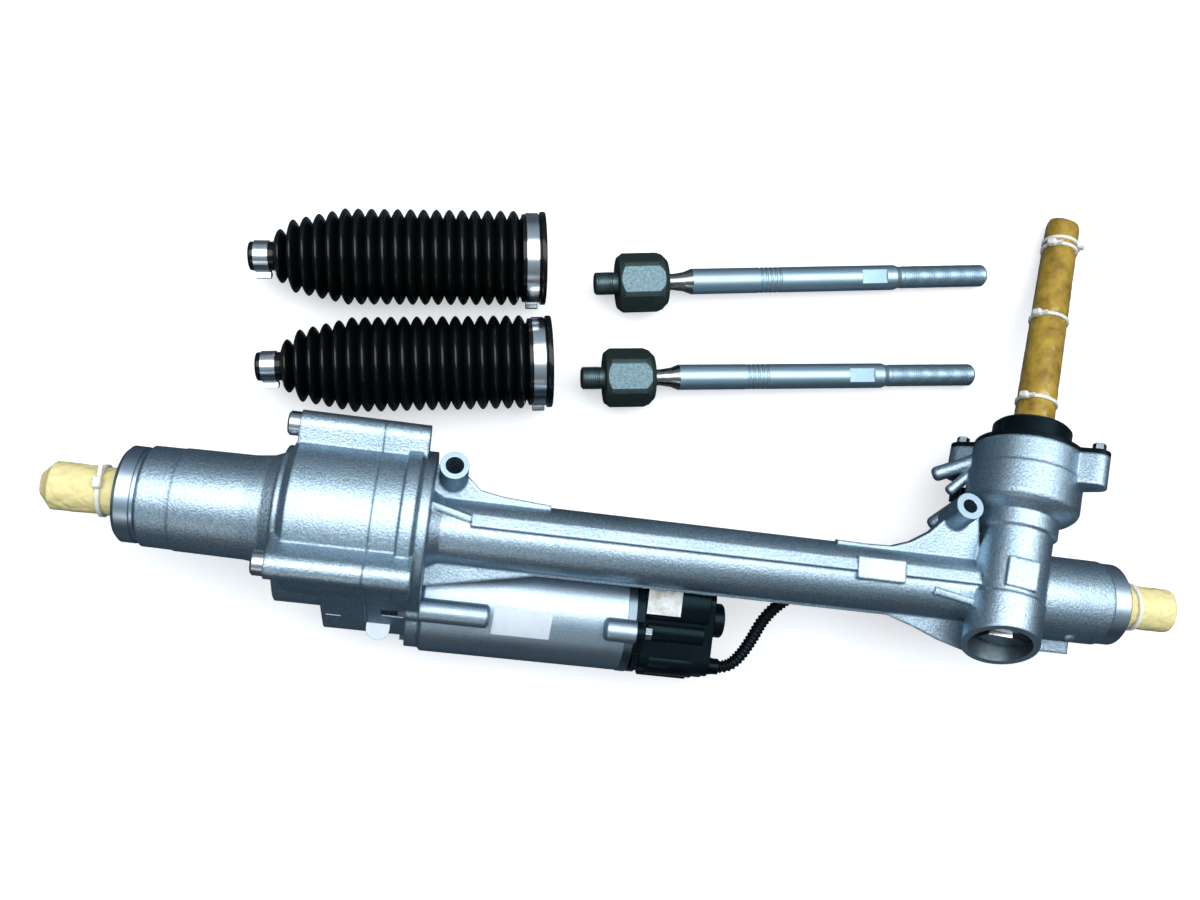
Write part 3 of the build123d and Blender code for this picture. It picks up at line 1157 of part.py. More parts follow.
def pinion_end_plug():
    """The hexagon-headed plug in the foot of the tower."""
    disc = Pos(0, 0, FOOT_BORE_TOP - END_PLUG_DISC / 2) * Cylinder(FOOT_BORE, END_PLUG_DISC)
    head_height = END_PLUG_LENGTH - END_PLUG_DISC + SMALL_BREAK
    head = Pos(0, 0, FOOT_BORE_TOP - END_PLUG_LENGTH) * hex_prism(END_PLUG_FLATS, head_height)
    ring = Pos(0, 0, FOOT_BORE_TOP - END_PLUG_DISC) * Cylinder(END_PLUG_RING, 2 * SMALL_BREAK)
    return TOWER * joined([disc, head, ring])


def rack_bar():
    """The rack: inclined teeth at the right, ball thread ground at the left."""
    bar = turned_x([
        (0, RACK_LEFT_END),
        (RACK_RADIUS - EDGE_BREAK, RACK_LEFT_END),
        (RACK_RADIUS, RACK_LEFT_END + EDGE_BREAK),
        (RACK_RADIUS, RACK_RIGHT_END - EDGE_BREAK),
        (RACK_RADIUS - EDGE_BREAK, RACK_RIGHT_END),
        (0, RACK_RIGHT_END),
    ])
    tip = -(PITCH_RADIUS - RACK_REACH)
    root = -(PITCH_RADIUS + RACK_ROOT_DEPTH)
    step = TOOTH_PITCH / math.cos(LEAN)
    flat_length = step * (RACK_TEETH + 1)
    flat_plane = Plane(origin=MESH_POINT, x_dir=(1, 0, 0), z_dir=UPWARD)
    bar -= flat_plane * Pos(0, 0, tip + 10) * Box(flat_length, 60, 20)
    slope = math.tan(PRESSURE_ANGLE)
    half_gap = TOOTH_PITCH / 4 + PROFILE_SHIFT * slope + BACKLASH / 2

    def half_at(level):
        return half_gap + (level + PITCH_RADIUS) * slope

    top = tip + TOOTH_GAP_TOP
    outline = make_face(Polyline((root, -half_at(root)), (top, -half_at(top)),
                                 (top, half_at(top)), (root, half_at(root)), close=True))
    gap = extrude(TOWER.offset(-TOOTH_GAP_LENGTH / 2) * outline, TOOTH_GAP_LENGTH)
    gaps = [Pos(step * (index - (RACK_TEETH - 1) / 2), 0, 0) * gap for index in range(RACK_TEETH)]
    bar = bar.cut(*gaps)
    bar -= rod_x(RACK_END_THREAD_RADIUS, RACK_LEFT_END, RACK_LEFT_END + RACK_END_THREAD_DEPTH)
    bar -= rod_x(RACK_END_THREAD_RADIUS, RACK_RIGHT_END - RACK_END_THREAD_DEPTH, RACK_RIGHT_END)
    return bar


def rack_wrap(side):
    """The paper sleeve on one end of the rack; side is -1 at the left and 1 at the right."""
    end = RACK_RIGHT_END if side > 0 else -RACK_LEFT_END
    length = WRAP_LENGTH_RIGHT if side > 0 else WRAP_LENGTH_LEFT
    sleeve = [
        (RACK_RADIUS, end + WRAP_CAP - length),
        (WRAP_OUTSIDE, end + WRAP_CAP - length),
        (WRAP_OUTSIDE, end + WRAP_CAP - WRAP_TIP_LENGTH),
        (WRAP_OUTSIDE - WRAP_TIP_INSET, end + WRAP_CAP),
        (0, end + WRAP_CAP),
        (0, end),
        (RACK_RADIUS - EDGE_BREAK, end),
        (RACK_RADIUS, end - EDGE_BREAK),
    ]
    return turned_x([(radius, side * station) for radius, station in sleeve])


def rack_wrap_ties():
    """One cable tie on each wrapped rack end."""
    return group([wrapped_tie(WRAP_OUTSIDE, Pos(station, 0, RACK_HEIGHT) * Rot(0, 90, 0), angle)
                  for station, angle in WRAP_TIE_STATIONS])


def bellows_outline():
    """Half of the bellows' section along its axis, from the small end to the big one."""
    fold = (BELLOWS_LENGTH - SMALL_COLLAR_LENGTH - BIG_COLLAR_LENGTH) / BELLOWS_FOLDS
    outer = [(BELLOWS_SMALL_COLLAR, 0), (BELLOWS_SMALL_COLLAR, SMALL_COLLAR_LENGTH)]
    for index in range(BELLOWS_FOLDS):
        tapered = index < len(BELLOWS_FIRST_CRESTS)
        crest = BELLOWS_RADIUS * (BELLOWS_FIRST_CRESTS[index] if tapered else 1.0)
        start = SMALL_COLLAR_LENGTH + fold * index
        outer.append((crest, start + fold * CREST_START))
        outer.append((crest, start + fold * CREST_END))
        outer.append((crest - BELLOWS_RADIUS + BELLOWS_ROOT, start + fold))
    collar = BELLOWS_LENGTH - BIG_COLLAR_LENGTH
    outer += [(BELLOWS_BIG_COLLAR, collar + COLLAR_STEP), (BELLOWS_BIG_COLLAR, BELLOWS_LENGTH - LIP_WIDTH - TURNED_STEP),
              (BELLOWS_BIG_COLLAR + LIP_HEIGHT, BELLOWS_LENGTH - LIP_WIDTH),
              (BELLOWS_BIG_COLLAR + LIP_HEIGHT, BELLOWS_LENGTH)]
    inner = [(radius - BELLOWS_WALL, height) for radius, height in outer[:-2]]
    inner[-1] = (BELLOWS_BIG_COLLAR - BELLOWS_WALL, BELLOWS_LENGTH)
    return outer + inner[::-1]


def lying_plane(place, yaw, height, pitch=0.0):
    """A plane whose normal lies along a piece resting on the bench."""
    turn = math.radians(yaw)
    dip = math.radians(pitch)
    direction = Vector(math.cos(turn) * math.cos(dip), math.sin(turn) * math.cos(dip), -math.sin(dip))
    return Plane(origin=(place[0], place[1], height), x_dir=(-math.sin(turn), math.cos(turn), 0), z_dir=direction)


def bellows(side):
    """One bellows with its two clamps, lying on the bench."""
    place, yaw = BELLOWS_PLACES[side]
    plane = lying_plane(place, yaw, BELLOWS_RADIUS)
    boot = plane * turned(bellows_outline())
    big_middle = BELLOWS_LENGTH - LIP_WIDTH - COLLAR_STEP - BIG_CLAMP_WIDTH / 2
    big = Pos(0, 0, big_middle) * (Cylinder(BELLOWS_BIG_COLLAR + CLAMP_THICKNESS, BIG_CLAMP_WIDTH)
                                   - Cylinder(BELLOWS_BIG_COLLAR, BIG_CLAMP_WIDTH))
    ear_turn = Rot(0, 0, BIG_EAR_ANGLE)
    big_ear = ear_turn * Pos(BELLOWS_BIG_COLLAR + EAR_SIZE[0] / 2, 0, big_middle) * Box(*EAR_SIZE)
    small_middle = LIP_WIDTH + SMALL_CLAMP_WIDTH / 2
    small = Pos(0, 0, small_middle) * (Cylinder(BELLOWS_SMALL_COLLAR + CLAMP_THICKNESS, SMALL_CLAMP_WIDTH)
                                       - Cylinder(BELLOWS_SMALL_COLLAR, SMALL_CLAMP_WIDTH))
    small_ear = Rot(0, 0, SMALL_EAR_ANGLE) * Pos(BELLOWS_SMALL_COLLAR + EAR_SIZE[0] / 2, 0, small_middle) * Box(*EAR_SIZE)
    return boot, plane * joined([big, big_ear]), plane * joined([small, small_ear])


def tie_rod_plane(side):
    """The plane along a tie rod: its socket lies on a flat and its thread touches the bench."""
    place, yaw = TIE_ROD_PLACES[side]
    return lying_plane(place, yaw, SOCKET_ACROSS_FLATS / 2)


def rod_plane(side):
    """The plane of the swinging rod at its ball, tipped down until the thread rests."""
    drop = SOCKET_ACROSS_FLATS / 2 - ROD_THREAD_RADIUS
    pitch = math.degrees(math.asin(drop / (ROD_END - BALL_CENTRE)))
    centre = tie_rod_plane(side) * Pos(0, 0, BALL_CENTRE)
    place, yaw = TIE_ROD_PLACES[side]
    spot = centre.position if hasattr(centre, "position") else centre.origin
    return lying_plane((spot.X, spot.Y), yaw, spot.Z, pitch)


def tie_rod_socket(side):
    """The hexagonal ball housing with its stud."""
    body = hex_prism(SOCKET_ACROSS_FLATS, SOCKET_LENGTH)
    rounding = turned([
        (0, 0), (SOCKET_FACE_BACK, 0), (SOCKET_ROUND, SOCKET_LEAD), (SOCKET_ROUND, SOCKET_LENGTH - 2 * SOCKET_LEAD),
        (SOCKET_ROUND - EDGE_BREAK, SOCKET_LENGTH - SOCKET_LEAD), (SOCKET_FACE_FRONT, SOCKET_LENGTH),
        (0, SOCKET_LENGTH),
    ])
    body &= rounding
    body += Pos(0, 0, -STUD_LENGTH / 2) * Cylinder(STUD_RADIUS, STUD_LENGTH)
    seat = BALL_RADIUS + BALL_SEAT_WALL
    body -= Pos(0, 0, BALL_CENTRE) * Sphere(seat)
    body -= Pos(0, 0, BALL_CENTRE) * mouth_cone(MOUTH_GAP)
    body = chamfer(body.edges().group_by(Axis.Z)[0], HEAD_BREAK)
    return tie_rod_plane(side) * body


def mouth_cone(allowance):
    """The cone that the neck sweeps as it swings, grown by an allowance."""
    swing = math.radians(ROD_SWING + ROD_REST_TIP)
    reach = SOCKET_LENGTH - BALL_CENTRE + SMALL_BREAK
    start = MOUTH_START
    first = start * math.tan(swing) + NECK_RADIUS / math.cos(swing) + allowance
    last = reach * math.tan(swing) + NECK_RADIUS / math.cos(swing) + allowance
    return turned([(0, start), (first, start), (last, reach), (0, reach)])


def ball_seat(side):
    """The plastic shell between ball and socket."""
    shell = Sphere(BALL_RADIUS + BALL_SEAT_WALL) - Sphere(BALL_RADIUS + RUNNING_FIT)
    shell -= mouth_cone(MOUTH_GAP)
    shell -= Pos(0, 0, SEAT_TOP + BALL_RADIUS) * Box(4 * BALL_RADIUS, 4 * BALL_RADIUS, 2 * BALL_RADIUS)
    return tie_rod_plane(side) * Pos(0, 0, BALL_CENTRE) * shell


def tie_rod(side):
    """The rod with its ball, grooves, wrench flats and outer thread."""
    sphere = Sphere(BALL_RADIUS)
    start = ROD_START - BALL_CENTRE
    thread = ROD_THREAD_START - BALL_CENTRE
    end = ROD_END - BALL_CENTRE
    outline = [(0, 0)] + [(radius, max(0.0, start - distance)) for distance, radius in NECK_PROFILE]
    for index in range(ROD_RINGS):
        station = start + ROD_RING_START + ROD_RING_PITCH * index
        outline += [(ROD_RADIUS, station), (ROD_RADIUS - ROD_RING_DEPTH, station + TURNED_STEP),
                    (ROD_RADIUS - ROD_RING_DEPTH, station + ROD_RING_WIDTH - TURNED_STEP),
                    (ROD_RADIUS, station + ROD_RING_WIDTH)]
    outline += [(ROD_RADIUS, thread - SOCKET_LEAD), (ROD_THREAD_RADIUS, thread),
                (ROD_THREAD_RADIUS, end - EDGE_BREAK), (ROD_THREAD_RADIUS - EDGE_BREAK, end), (0, end)]
    rod = joined([sphere, turned(outline)])
    for across in (-1, 1):
        cutter = Box(2 * ROD_RADIUS, ROD_RADIUS, FLAT_LENGTH)
        rod -= Pos(0, across * (WRENCH_FLATS + ROD_RADIUS) / 2, thread - FLAT_INSET) * cutter
    return rod_plane(side) * rod


def make_parts():
    """Model every piece and name it."""
    nodes = {
        "left_housing": left_housing(),
        "rack_housing": rack_housing(),
        "housing_screws": housing_screws(),
        "ball_nut": ball_nut(),
        "nut_bearing_lock_ring": lock_ring(),
        "nut_pulley": pulley(NUT_PULLEY_RADIUS, NUT_RADIUS, 0.0, RACK_HEIGHT),
        "motor_pulley": pulley(MOTOR_PULLEY_RADIUS, MOTOR_SHAFT_RADIUS, MOTOR_Y, MOTOR_Z),
        "drive_belt": drive_belt(),
        "motor_housing": motor_housing(),
        "motor_bearings": motor_bearings(),
        "motor_shaft": motor_shaft(),
        "motor_rotor": ring_x(ROTOR_RADIUS, MOTOR_SHAFT_RADIUS, ROTOR_LEFT, ROTOR_RIGHT, MOTOR_Y, MOTOR_Z),
        "motor_screws": motor_screws(),
        "control_unit_plate": unit_plate(),
        "control_unit_cover": unit_cover(),
        "control_unit_board": circuit_board(),
        "control_unit_screws": unit_screws(),
        "power_connector": power_connector(),
        "sensor_plug": sensor_plug(),
        "sensor_cable": sensor_cable(),
        "sensor_connector": sensor_connector(),
        "pinion_shaft": pinion_shaft(),
        "pinion_lower_bearing": tower_ring(LOWER_BEARING_RADIUS, LOWER_JOURNAL + RUNNING_FIT,
                                           FOOT_BORE_TOP, FOOT_BORE_TOP + LOWER_BEARING_WIDTH),
        "pinion_upper_bearing": tower_ring(UPPER_BEARING_RADIUS, UPPER_JOURNAL + RUNNING_FIT,
                                           UPPER_BEARING_BASE, UPPER_BEARING_BASE + UPPER_BEARING_WIDTH),
        "pinion_end_plug": pinion_end_plug(),
        "torsion_bar": tower_rod(TORSION_RADIUS, TORSION_FOOT, TORSION_TOP),
        "input_shaft": input_shaft(),
        "input_bearing": tower_ring(INPUT_BEARING_RADIUS, INPUT_RADIUS + RUNNING_FIT,
                                    INPUT_BEARING_BASE, INPUT_BEARING_BASE + 9),
        "input_seal": tower_ring(INPUT_BEARING_RADIUS, INPUT_RADIUS + RUNNING_FIT,
                                 COVER_COLLAR_TOP - 6, COVER_COLLAR_TOP - 1),
        "torque_sensor": tower_ring(SENSOR_BORE, SENSOR_MAGNET_RADIUS + FREE_GAP, 62, 84),
        "sensor_magnet_ring": tower_ring(SENSOR_MAGNET_RADIUS, INPUT_RADIUS, 66, 80),
        "sensor_flux_ring": tower_ring(SENSOR_MAGNET_RADIUS, UPPER_JOURNAL, 49, 57),
        "sensor_cover": sensor_cover(),
        "cover_screws": cover_screws(),
        "shaft_wrap": shaft_wrap(),
        "shaft_ties": shaft_ties(),
        "yoke": yoke(),
        "yoke_spring": yoke_spring(),
        "yoke_plug": yoke_plug(),
        "rack_bar": rack_bar(),
        "rack_wrap_left": rack_wrap(-1),
        "rack_wrap_right": rack_wrap(1),
        "rack_wrap_ties": rack_wrap_ties(),
    }
    outer, inner, balls = nut_bearing()
    nodes["nut_bearing_outer_race"] = outer
    nodes["nut_bearing_inner_race"] = inner
    nodes["nut_bearing_balls"] = balls
    nodes["stator_core"], nodes["stator_windings"] = stator()
    for side in ("left", "right"):
        boot, big_clamp, small_clamp = bellows(side)
        nodes[f"{side}_bellows"] = boot
        nodes[f"{side}_bellows_large_clamp"] = big_clamp
        nodes[f"{side}_bellows_small_clamp"] = small_clamp
        nodes[f"{side}_tie_rod_socket"] = tie_rod_socket(side)
        nodes[f"{side}_ball_seat"] = ball_seat(side)
        nodes[f"{side}_tie_rod"] = tie_rod(side)
    return nodes


def seated(nodes):
    """All pieces moved so that the origin lies under the middle of the layout, on the bench."""
    boxes = [shape.bounding_box() for shape in nodes.values()]
    low_x, high_x = min(box.min.X for box in boxes), max(box.max.X for box in boxes)
    low_y, high_y = min(box.min.Y for box in boxes), max(box.max.Y for box in boxes)
    shift = Vector(-(low_x + high_x) / 2, -(low_y + high_y) / 2, -min(box.min.Z for box in boxes))
    return shift, {name: Pos(shift.X, shift.Y, shift.Z) * shape for name, shape in nodes.items()}


if __name__ == "__main__":
    os.makedirs("parts", exist_ok=True)
    layout_shift, parts = seated(make_parts())
    print("layout shift", [round(value, 3) for value in layout_shift])
    for name, shape in parts.items():
        export_step(shape, f"parts/{name}.step")
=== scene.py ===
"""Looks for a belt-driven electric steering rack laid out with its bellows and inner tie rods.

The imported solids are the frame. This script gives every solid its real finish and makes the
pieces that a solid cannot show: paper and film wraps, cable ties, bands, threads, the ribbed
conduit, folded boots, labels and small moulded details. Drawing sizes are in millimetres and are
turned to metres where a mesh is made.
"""

import json
import logging
import math
from dataclasses import dataclass, field
from enum import Enum
from typing import Callable, Iterable, Sequence

import bmesh
import bpy
from mathutils import Matrix, Vector, noise

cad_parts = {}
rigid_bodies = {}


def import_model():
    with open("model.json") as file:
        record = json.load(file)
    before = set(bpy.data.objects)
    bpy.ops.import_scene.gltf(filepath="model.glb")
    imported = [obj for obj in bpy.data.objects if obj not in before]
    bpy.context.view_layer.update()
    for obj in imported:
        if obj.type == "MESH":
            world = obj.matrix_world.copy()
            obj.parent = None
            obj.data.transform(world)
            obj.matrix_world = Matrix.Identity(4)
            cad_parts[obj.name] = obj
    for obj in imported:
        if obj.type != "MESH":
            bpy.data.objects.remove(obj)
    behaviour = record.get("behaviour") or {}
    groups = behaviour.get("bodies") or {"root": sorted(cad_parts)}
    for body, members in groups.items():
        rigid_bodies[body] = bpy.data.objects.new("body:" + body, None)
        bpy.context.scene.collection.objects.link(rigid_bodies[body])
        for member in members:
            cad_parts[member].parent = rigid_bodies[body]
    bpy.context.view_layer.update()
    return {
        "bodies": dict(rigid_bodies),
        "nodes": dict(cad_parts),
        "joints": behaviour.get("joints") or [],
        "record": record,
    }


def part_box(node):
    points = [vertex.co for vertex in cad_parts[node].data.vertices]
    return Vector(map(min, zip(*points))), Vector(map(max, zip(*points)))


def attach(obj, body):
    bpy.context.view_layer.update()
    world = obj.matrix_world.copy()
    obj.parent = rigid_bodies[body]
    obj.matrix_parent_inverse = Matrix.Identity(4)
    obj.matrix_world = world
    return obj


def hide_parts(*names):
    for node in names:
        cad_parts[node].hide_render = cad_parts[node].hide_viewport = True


log = logging.getLogger("steering_rack")

MM = 0.001
FULL_TURN = 2 * math.pi
NOISE_MIDDLE = (0.3, 0.7)
WHITE = (1, 1, 1, 1)
COAT_ROUGHNESS = 0.12
LIGHT_DEPTHS = (1.0, 0.8, 0.5)
BAND_RIM_SHARE = 0.3

# Where the drawing's axes lie, as in the solids
RACK_HEIGHT = 80.0
RACK_LEFT_END = -387.5
RACK_RIGHT_END = 385.0
MOTOR_Y = -52.0
MOTOR_Z = 38.5
PINION_STATION = 256.0
PINION_LEAN_SIDEWAYS = math.radians(10.6)
PINION_LEAN_DOWN = math.radians(17.2)
MESH_OFFSET = 18.1

Pair = tuple[float, float]
Triple = tuple[float, float, float]
Shape = tuple[list[Triple], list[list[int]]]
Mesh = bpy.types.Mesh
NodeTree = bpy.types.NodeTree
Socket = bpy.types.NodeSocket


class Body(Enum):
    """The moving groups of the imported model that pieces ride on."""

    HOUSING = "housing"
    RACK = "rack"
    INPUT_SHAFT = "input_shaft"
    LEFT_TIE_ROD = "left_tie_rod"
    RIGHT_TIE_ROD = "right_tie_rod"


class Side(Enum):
    """The two ends of the layout."""

    LEFT = "left"
    RIGHT = "right"


class WrapTip(Enum):
    """How the end of a wrapped shaft is folded.

    Each holds the tip's length, then the share of its half width that is lost and the power of the
    loss along the tip, then the same two for its half height.
    """

    WEDGE = (8.0, 0.52, 1.0, 0.70, 0.8)
    BLUNT = (6.5, 0.16, 2.0, 0.62, 1.5)
    SQUARE = (5.0, 0.10, 2.0, 0.40, 1.6)


def linear_colour(code: str) -> tuple[float, float, float, float]:
    """Turn an sRGB hex colour to linear.

    Args:
        code: Six hex digits with a leading hash.

    Returns:
        Red, green, blue and a full alpha.
    """
    parts = [int(code[i:i + 2], 16) / 255 for i in (1, 3, 5)]
    red, green, blue = (c / 12.92 if c <= 0.04045 else ((c + 0.055) / 1.055) ** 2.4 for c in parts)
    return red, green, blue, 1.0


def add(tree: NodeTree, kind: str, sockets: dict | None = None, **settings) -> bpy.types.Node:
    """Add a node, with its settings, its values and its links.

    Args:
        tree: The tree that gets the node.
        kind: Blender's name for the node.
        sockets: Input name or index to a value or to the socket that feeds it.
        settings: The node's own properties.

    Returns:
        The new node.
    """
    node = tree.nodes.new(kind)
    for name, value in settings.items():
        setattr(node, name, value)
    for key, value in (sockets or {}).items():
        if isinstance(value, Socket):
            tree.links.new(value, node.inputs[key])
        else:
            node.inputs[key].default_value = value
    return node


def empty_tree(owner: bpy.types.Material | bpy.types.World) -> NodeTree:
    """Let a material or a world use nodes, and empty its tree.

    Args:
        owner: The material or world.

    Returns:
        Its empty tree.
    """
    owner.use_nodes = True
    owner.node_tree.nodes.clear()
    return owner.node_tree


def remap(tree: NodeTree, value: Socket, source: Pair, target: Pair) -> Socket:
    """Map a value from the source range to the target range, and keep it within that range."""
    sockets = {"Value": value, "From Min": source[0], "From Max": source[1], "To Min": target[0], "To Max": target[1]}
    return add(tree, "ShaderNodeMapRange", sockets).outputs[0]


def link_object(name: str, data: bpy.types.ID, matrix: Matrix | None = None) -> bpy.types.Object:
    """Make an object and link it to the scene.

    Args:
        name: Its name.
        data: Its mesh, curve, lamp or camera.
        matrix: Where it stands, if not at the origin.

    Returns:
        The object.
    """
    made = bpy.data.objects.new(name, data)
    if matrix is not None:
        made.matrix_world = matrix
    bpy.context.scene.collection.objects.link(made)
    return made


@dataclass
class Skin:
    """A material's nodes while a finish builds them."""

    tree: NodeTree
    shader: bpy.types.Node
    place: Socket

    def noise(self, size_mm: float, **values: float) -> Socket:
        """Add a noise pattern with spots of the given size; the values are its other inputs."""
        inputs = {"Vector": self.place, "Scale": 1 / (size_mm * MM), **values}
        return add(self.tree, "ShaderNodeTexNoise", inputs).outputs["Fac"]

    def spread(self, pattern: Socket, target: Pair = (0.0, 1.0)) -> Socket:
        """Spread the middle part of a noise pattern over a range."""
        return remap(self.tree, pattern, NOISE_MIDDLE, target)

    def bump(self, height: Socket, depth_mm: float, **values) -> bpy.types.Node:
        """Add a bump that raises a pattern to the given height; the values are its other inputs."""
        return add(self.tree, "ShaderNodeBump", {"Height": height, "Distance": depth_mm * MM, **values})

    def feed(self, name: str, value: Socket) -> None:
        """Link a value to one of the shader's inputs."""
        self.tree.links.new(value, self.shader.inputs[name])


@dataclass(frozen=True)
class Finish:
    """A surface with a slight mottle, a grain and softly broken edges."""

    name: str
    colour: str
    mottle_colour: str
    metallic: float = 0.0
    roughness: Pair = (0.4, 0.5)
    mottle_mm: float = 25.0
    grain_mm: float = 1.0
    grain_depth_mm: float = 0.05
    edge_mm: float = 0.0
    edge_tint: str = "#FFFFFF"
    coat: float = 0.0
    specular: float = 0.5
    sparkle: float = 0.0

    def build(self) -> bpy.types.Material:
        """Make the material once and return it.

        Returns:
            The material.
        """
        found = bpy.data.materials.get(self.name)
        if found:
            return found
        material = bpy.data.materials.new(self.name)
        tree = empty_tree(material)
        shader = add(tree, "ShaderNodeBsdfPrincipled", {
            "Metallic": self.metallic, "Specular Tint": linear_colour(self.edge_tint),
            "Specular IOR Level": self.specular, "Coat Weight": self.coat, "Coat Roughness": COAT_ROUGHNESS})
        self.dress(Skin(tree, shader, add(tree, "ShaderNodeTexCoord").outputs["Object"]))
        add(tree, "ShaderNodeOutputMaterial", {"Surface": shader.outputs[0]})
        return material

    def dress(self, skin: Skin) -> None:
        """Feed colour, roughness and relief to the shader.

        Args:
            skin: The material's nodes.
        """
        mottle = skin.noise(self.mottle_mm, Detail=4.0, Roughness=0.6)
        tones = {"Factor": skin.spread(mottle), "A": linear_colour(self.colour), "B": linear_colour(self.mottle_colour)}
        colour = add(skin.tree, "ShaderNodeMix", tones, data_type="RGBA").outputs["Result"]
        if self.sparkle:
            level = skin.spread(skin.noise(self.grain_mm, Detail=1.0), (1 - self.sparkle, 1 + self.sparkle))
            colour = add(skin.tree, "ShaderNodeHueSaturation", {"Value": level, "Color": colour}).outputs[0]
        skin.feed("Base Color", colour)
        skin.feed("Roughness", skin.spread(mottle, self.roughness))
        self.relief(skin)

    def grain(self, skin: Skin) -> Socket:
        """The fine pattern that stands out of the surface, from 0 to 1."""
        return skin.noise(self.grain_mm, Detail=2.0, Roughness=0.6)

    def relief(self, skin: Skin) -> None:
        """Raise the grain and break the edges.

        Args:
            skin: The material's nodes.
        """
        bump = skin.bump(self.grain(skin), self.grain_depth_mm)
        if self.edge_mm:
            bevel = add(skin.tree, "ShaderNodeBevel", {"Radius": self.edge_mm * MM}, samples=6)
            skin.tree.links.new(bevel.outputs[0], bump.inputs["Normal"])
        skin.feed("Normal", bump.outputs[0])


@dataclass(frozen=True)
class TurnedFinish(Finish):
    """Metal from a lathe: fine rings across the X axis instead of grain."""

    def grain(self, skin: Skin) -> Socket:
        """The tool rings along the turning axis.

        Args:
            skin: The material's nodes.

        Returns:
            The pattern, from 0 to 1.
        """
        station = add(skin.tree, "ShaderNodeSeparateXYZ", {"Vector": skin.place}).outputs["X"]
        inputs = {"W": station, "Scale": 1 / (self.grain_mm * MM), "Detail": 2.0}
        return add(skin.tree, "ShaderNodeTexNoise", inputs, noise_dimensions="1D").outputs["Fac"]


@dataclass(frozen=True)
class SoftFinish(Finish):
    """Paper, nylon or film: light enters a little way, and the surface is creased."""

    depth_mm: float = 1.0
    inside: float = 0.3
    crease_mm: float = 9.0
    crease_depth_mm: float = 0.4

    def dress(self, skin: Skin) -> None:
        """Feed colour, roughness, creases and the light inside to the shader.

        Args:
            skin: The material's nodes.
        """
        super().dress(skin)
        for name, value in (("Weight", self.inside), ("Radius", LIGHT_DEPTHS), ("Scale", self.depth_mm * MM)):
            skin.shader.inputs[f"Subsurface {name}"].default_value = value

    def relief(self, skin: Skin) -> None:
        """Raise creases over the fine grain.

        Args:
            skin: The material's nodes.
        """
        fine = skin.bump(skin.noise(self.grain_mm, Detail=2.0), self.grain_depth_mm)
        bend = add(skin.tree, "ShaderNodeTexVoronoi", {"Vector": skin.place, "Scale": 1 / (self.crease_mm * MM)},
                   feature="DISTANCE_TO_EDGE")
        ridge = add(skin.tree, "ShaderNodeMapRange", {"Value": bend.outputs["Distance"], "From Max": 0.25},
                    interpolation_type="SMOOTHSTEP")
        crease = skin.bump(ridge.outputs[0], self.crease_depth_mm, Strength=0.6, Normal=fine.outputs[0])
        skin.feed("Normal", crease.outputs[0])


# Pressure die-cast aluminium, shot-blasted: a cool grey with a sparkling grain of about 1 mm
CAST_ALUMINIUM = Finish("shot_blasted_die_cast_aluminium", "#AABECB", "#9DB2C0", 1.0, (0.38, 0.46), 40.0,
                        1.5, 0.26, 2.6, "#8E98A4", sparkle=0.2)
# The motor can is finer blasted, so it is smoother and paler than the big castings
MOTOR_ALUMINIUM = Finish("fine_blasted_motor_aluminium", "#A9BBC8", "#9FB1BF", 1.0, (0.38, 0.46), 45.0,
                         1.1, 0.12, 1.4, "#868C94", sparkle=0.12)
# Bearing seats and joint faces turned after casting: brighter, with tool rings
TURNED_ALUMINIUM = TurnedFinish("turned_aluminium_seat", "#B3C5D1", "#A9BBC8", 1.0, (0.3, 0.38), 30.0,
                                0.5, 0.01, 0.5, "#A0A8B0")
# Milled faces; the tops of two lugs by the belt case are paler than the others, a painted highlight where the light
# from above falls on them
LUG_TOP_PAINTED_HIGHLIGHT = Finish("lug_top_painted_highlight", "#DAE2E8", "#D0D9E0", 1.0, (0.44, 0.52), 12.0, 0.8, 0.02, 0.4)
MILLED_ALUMINIUM = Finish("milled_aluminium_face", "#B4CAD7", "#A9C0CE", 1.0, (0.36, 0.44), 12.0, 0.6, 0.01, 0.4)
# Zinc-plated steel screws and bands: bright, slightly blue
ZINC_STEEL = Finish("zinc_plated_steel", "#C6CCD0", "#B2B9BE", 1.0, (0.2, 0.32), 8.0, 0.5, 0.01, 0.4, "#9AA0A6")
BAND_STEEL = Finish("stainless_band_steel", "#D5D9DC", "#C3C8CC", 1.0, (0.16, 0.24), 14.0, 0.7, 0.01)
# Phosphated forged steel: near black green, dull, with a coarse crystal mottle
PHOSPHATED_STEEL = Finish("phosphated_forged_steel", "#596B69", "#475654", 0.9, (0.42, 0.54), 5.0,
                          0.8, 0.05, 1.2, "#5A6264")
# The sockets' upward flats and the stud threads: a paler phosphated colour, a painted highlight from the light above
PHOSPHATED_PAINTED_HIGHLIGHT = Finish("phosphated_painted_highlight", "#5D7279", "#4A5D64", 0.95, (0.34, 0.46), 2.2, 0.9, 0.05, 0.8,
                         sparkle=0.25)
# Zinc-flake coated rods: silver blue, satin, duller on the wrench flats and bare at the neck; the flats' darker colour
# is painted shade that tones down the light from above
ROD_COAT = Finish("zinc_flake_coated_steel", "#A2BCC9", "#99B3C1", 0.95, (0.38, 0.46), 60.0, 1.2, 0.015, 0.5, "#7C8892")
ROD_FLAT_PAINTED_SHADE = Finish("wrench_flat_painted_shade", "#8FA8B5", "#869FAD", 0.95, (0.46, 0.54), 30.0, 1.2, 0.015, 0.5)
BARE_STEEL = Finish("bare_turned_steel", "#9A9C98", "#7B7E7A", 1.0, (0.16, 0.24), 6.0, 0.6, 0.02, 0.3)
# Glass-filled nylon: black with a soft sheen and a fine moulded grain
BLACK_NYLON = Finish("moulded_black_nylon", "#050A0D", "#080E12", 0.0, (0.22, 0.32), 30.0, 0.7, 0.02, 0.9,
                     "#86B4C8", specular=0.24)
CONDUIT_BLACK = Finish("ribbed_conduit_black", "#07090B", "#0C0F12", 0.0, (0.26, 0.36), 12.0, 0.6, 0.02, 0.0,
                       "#9AB8C6", specular=0.34)
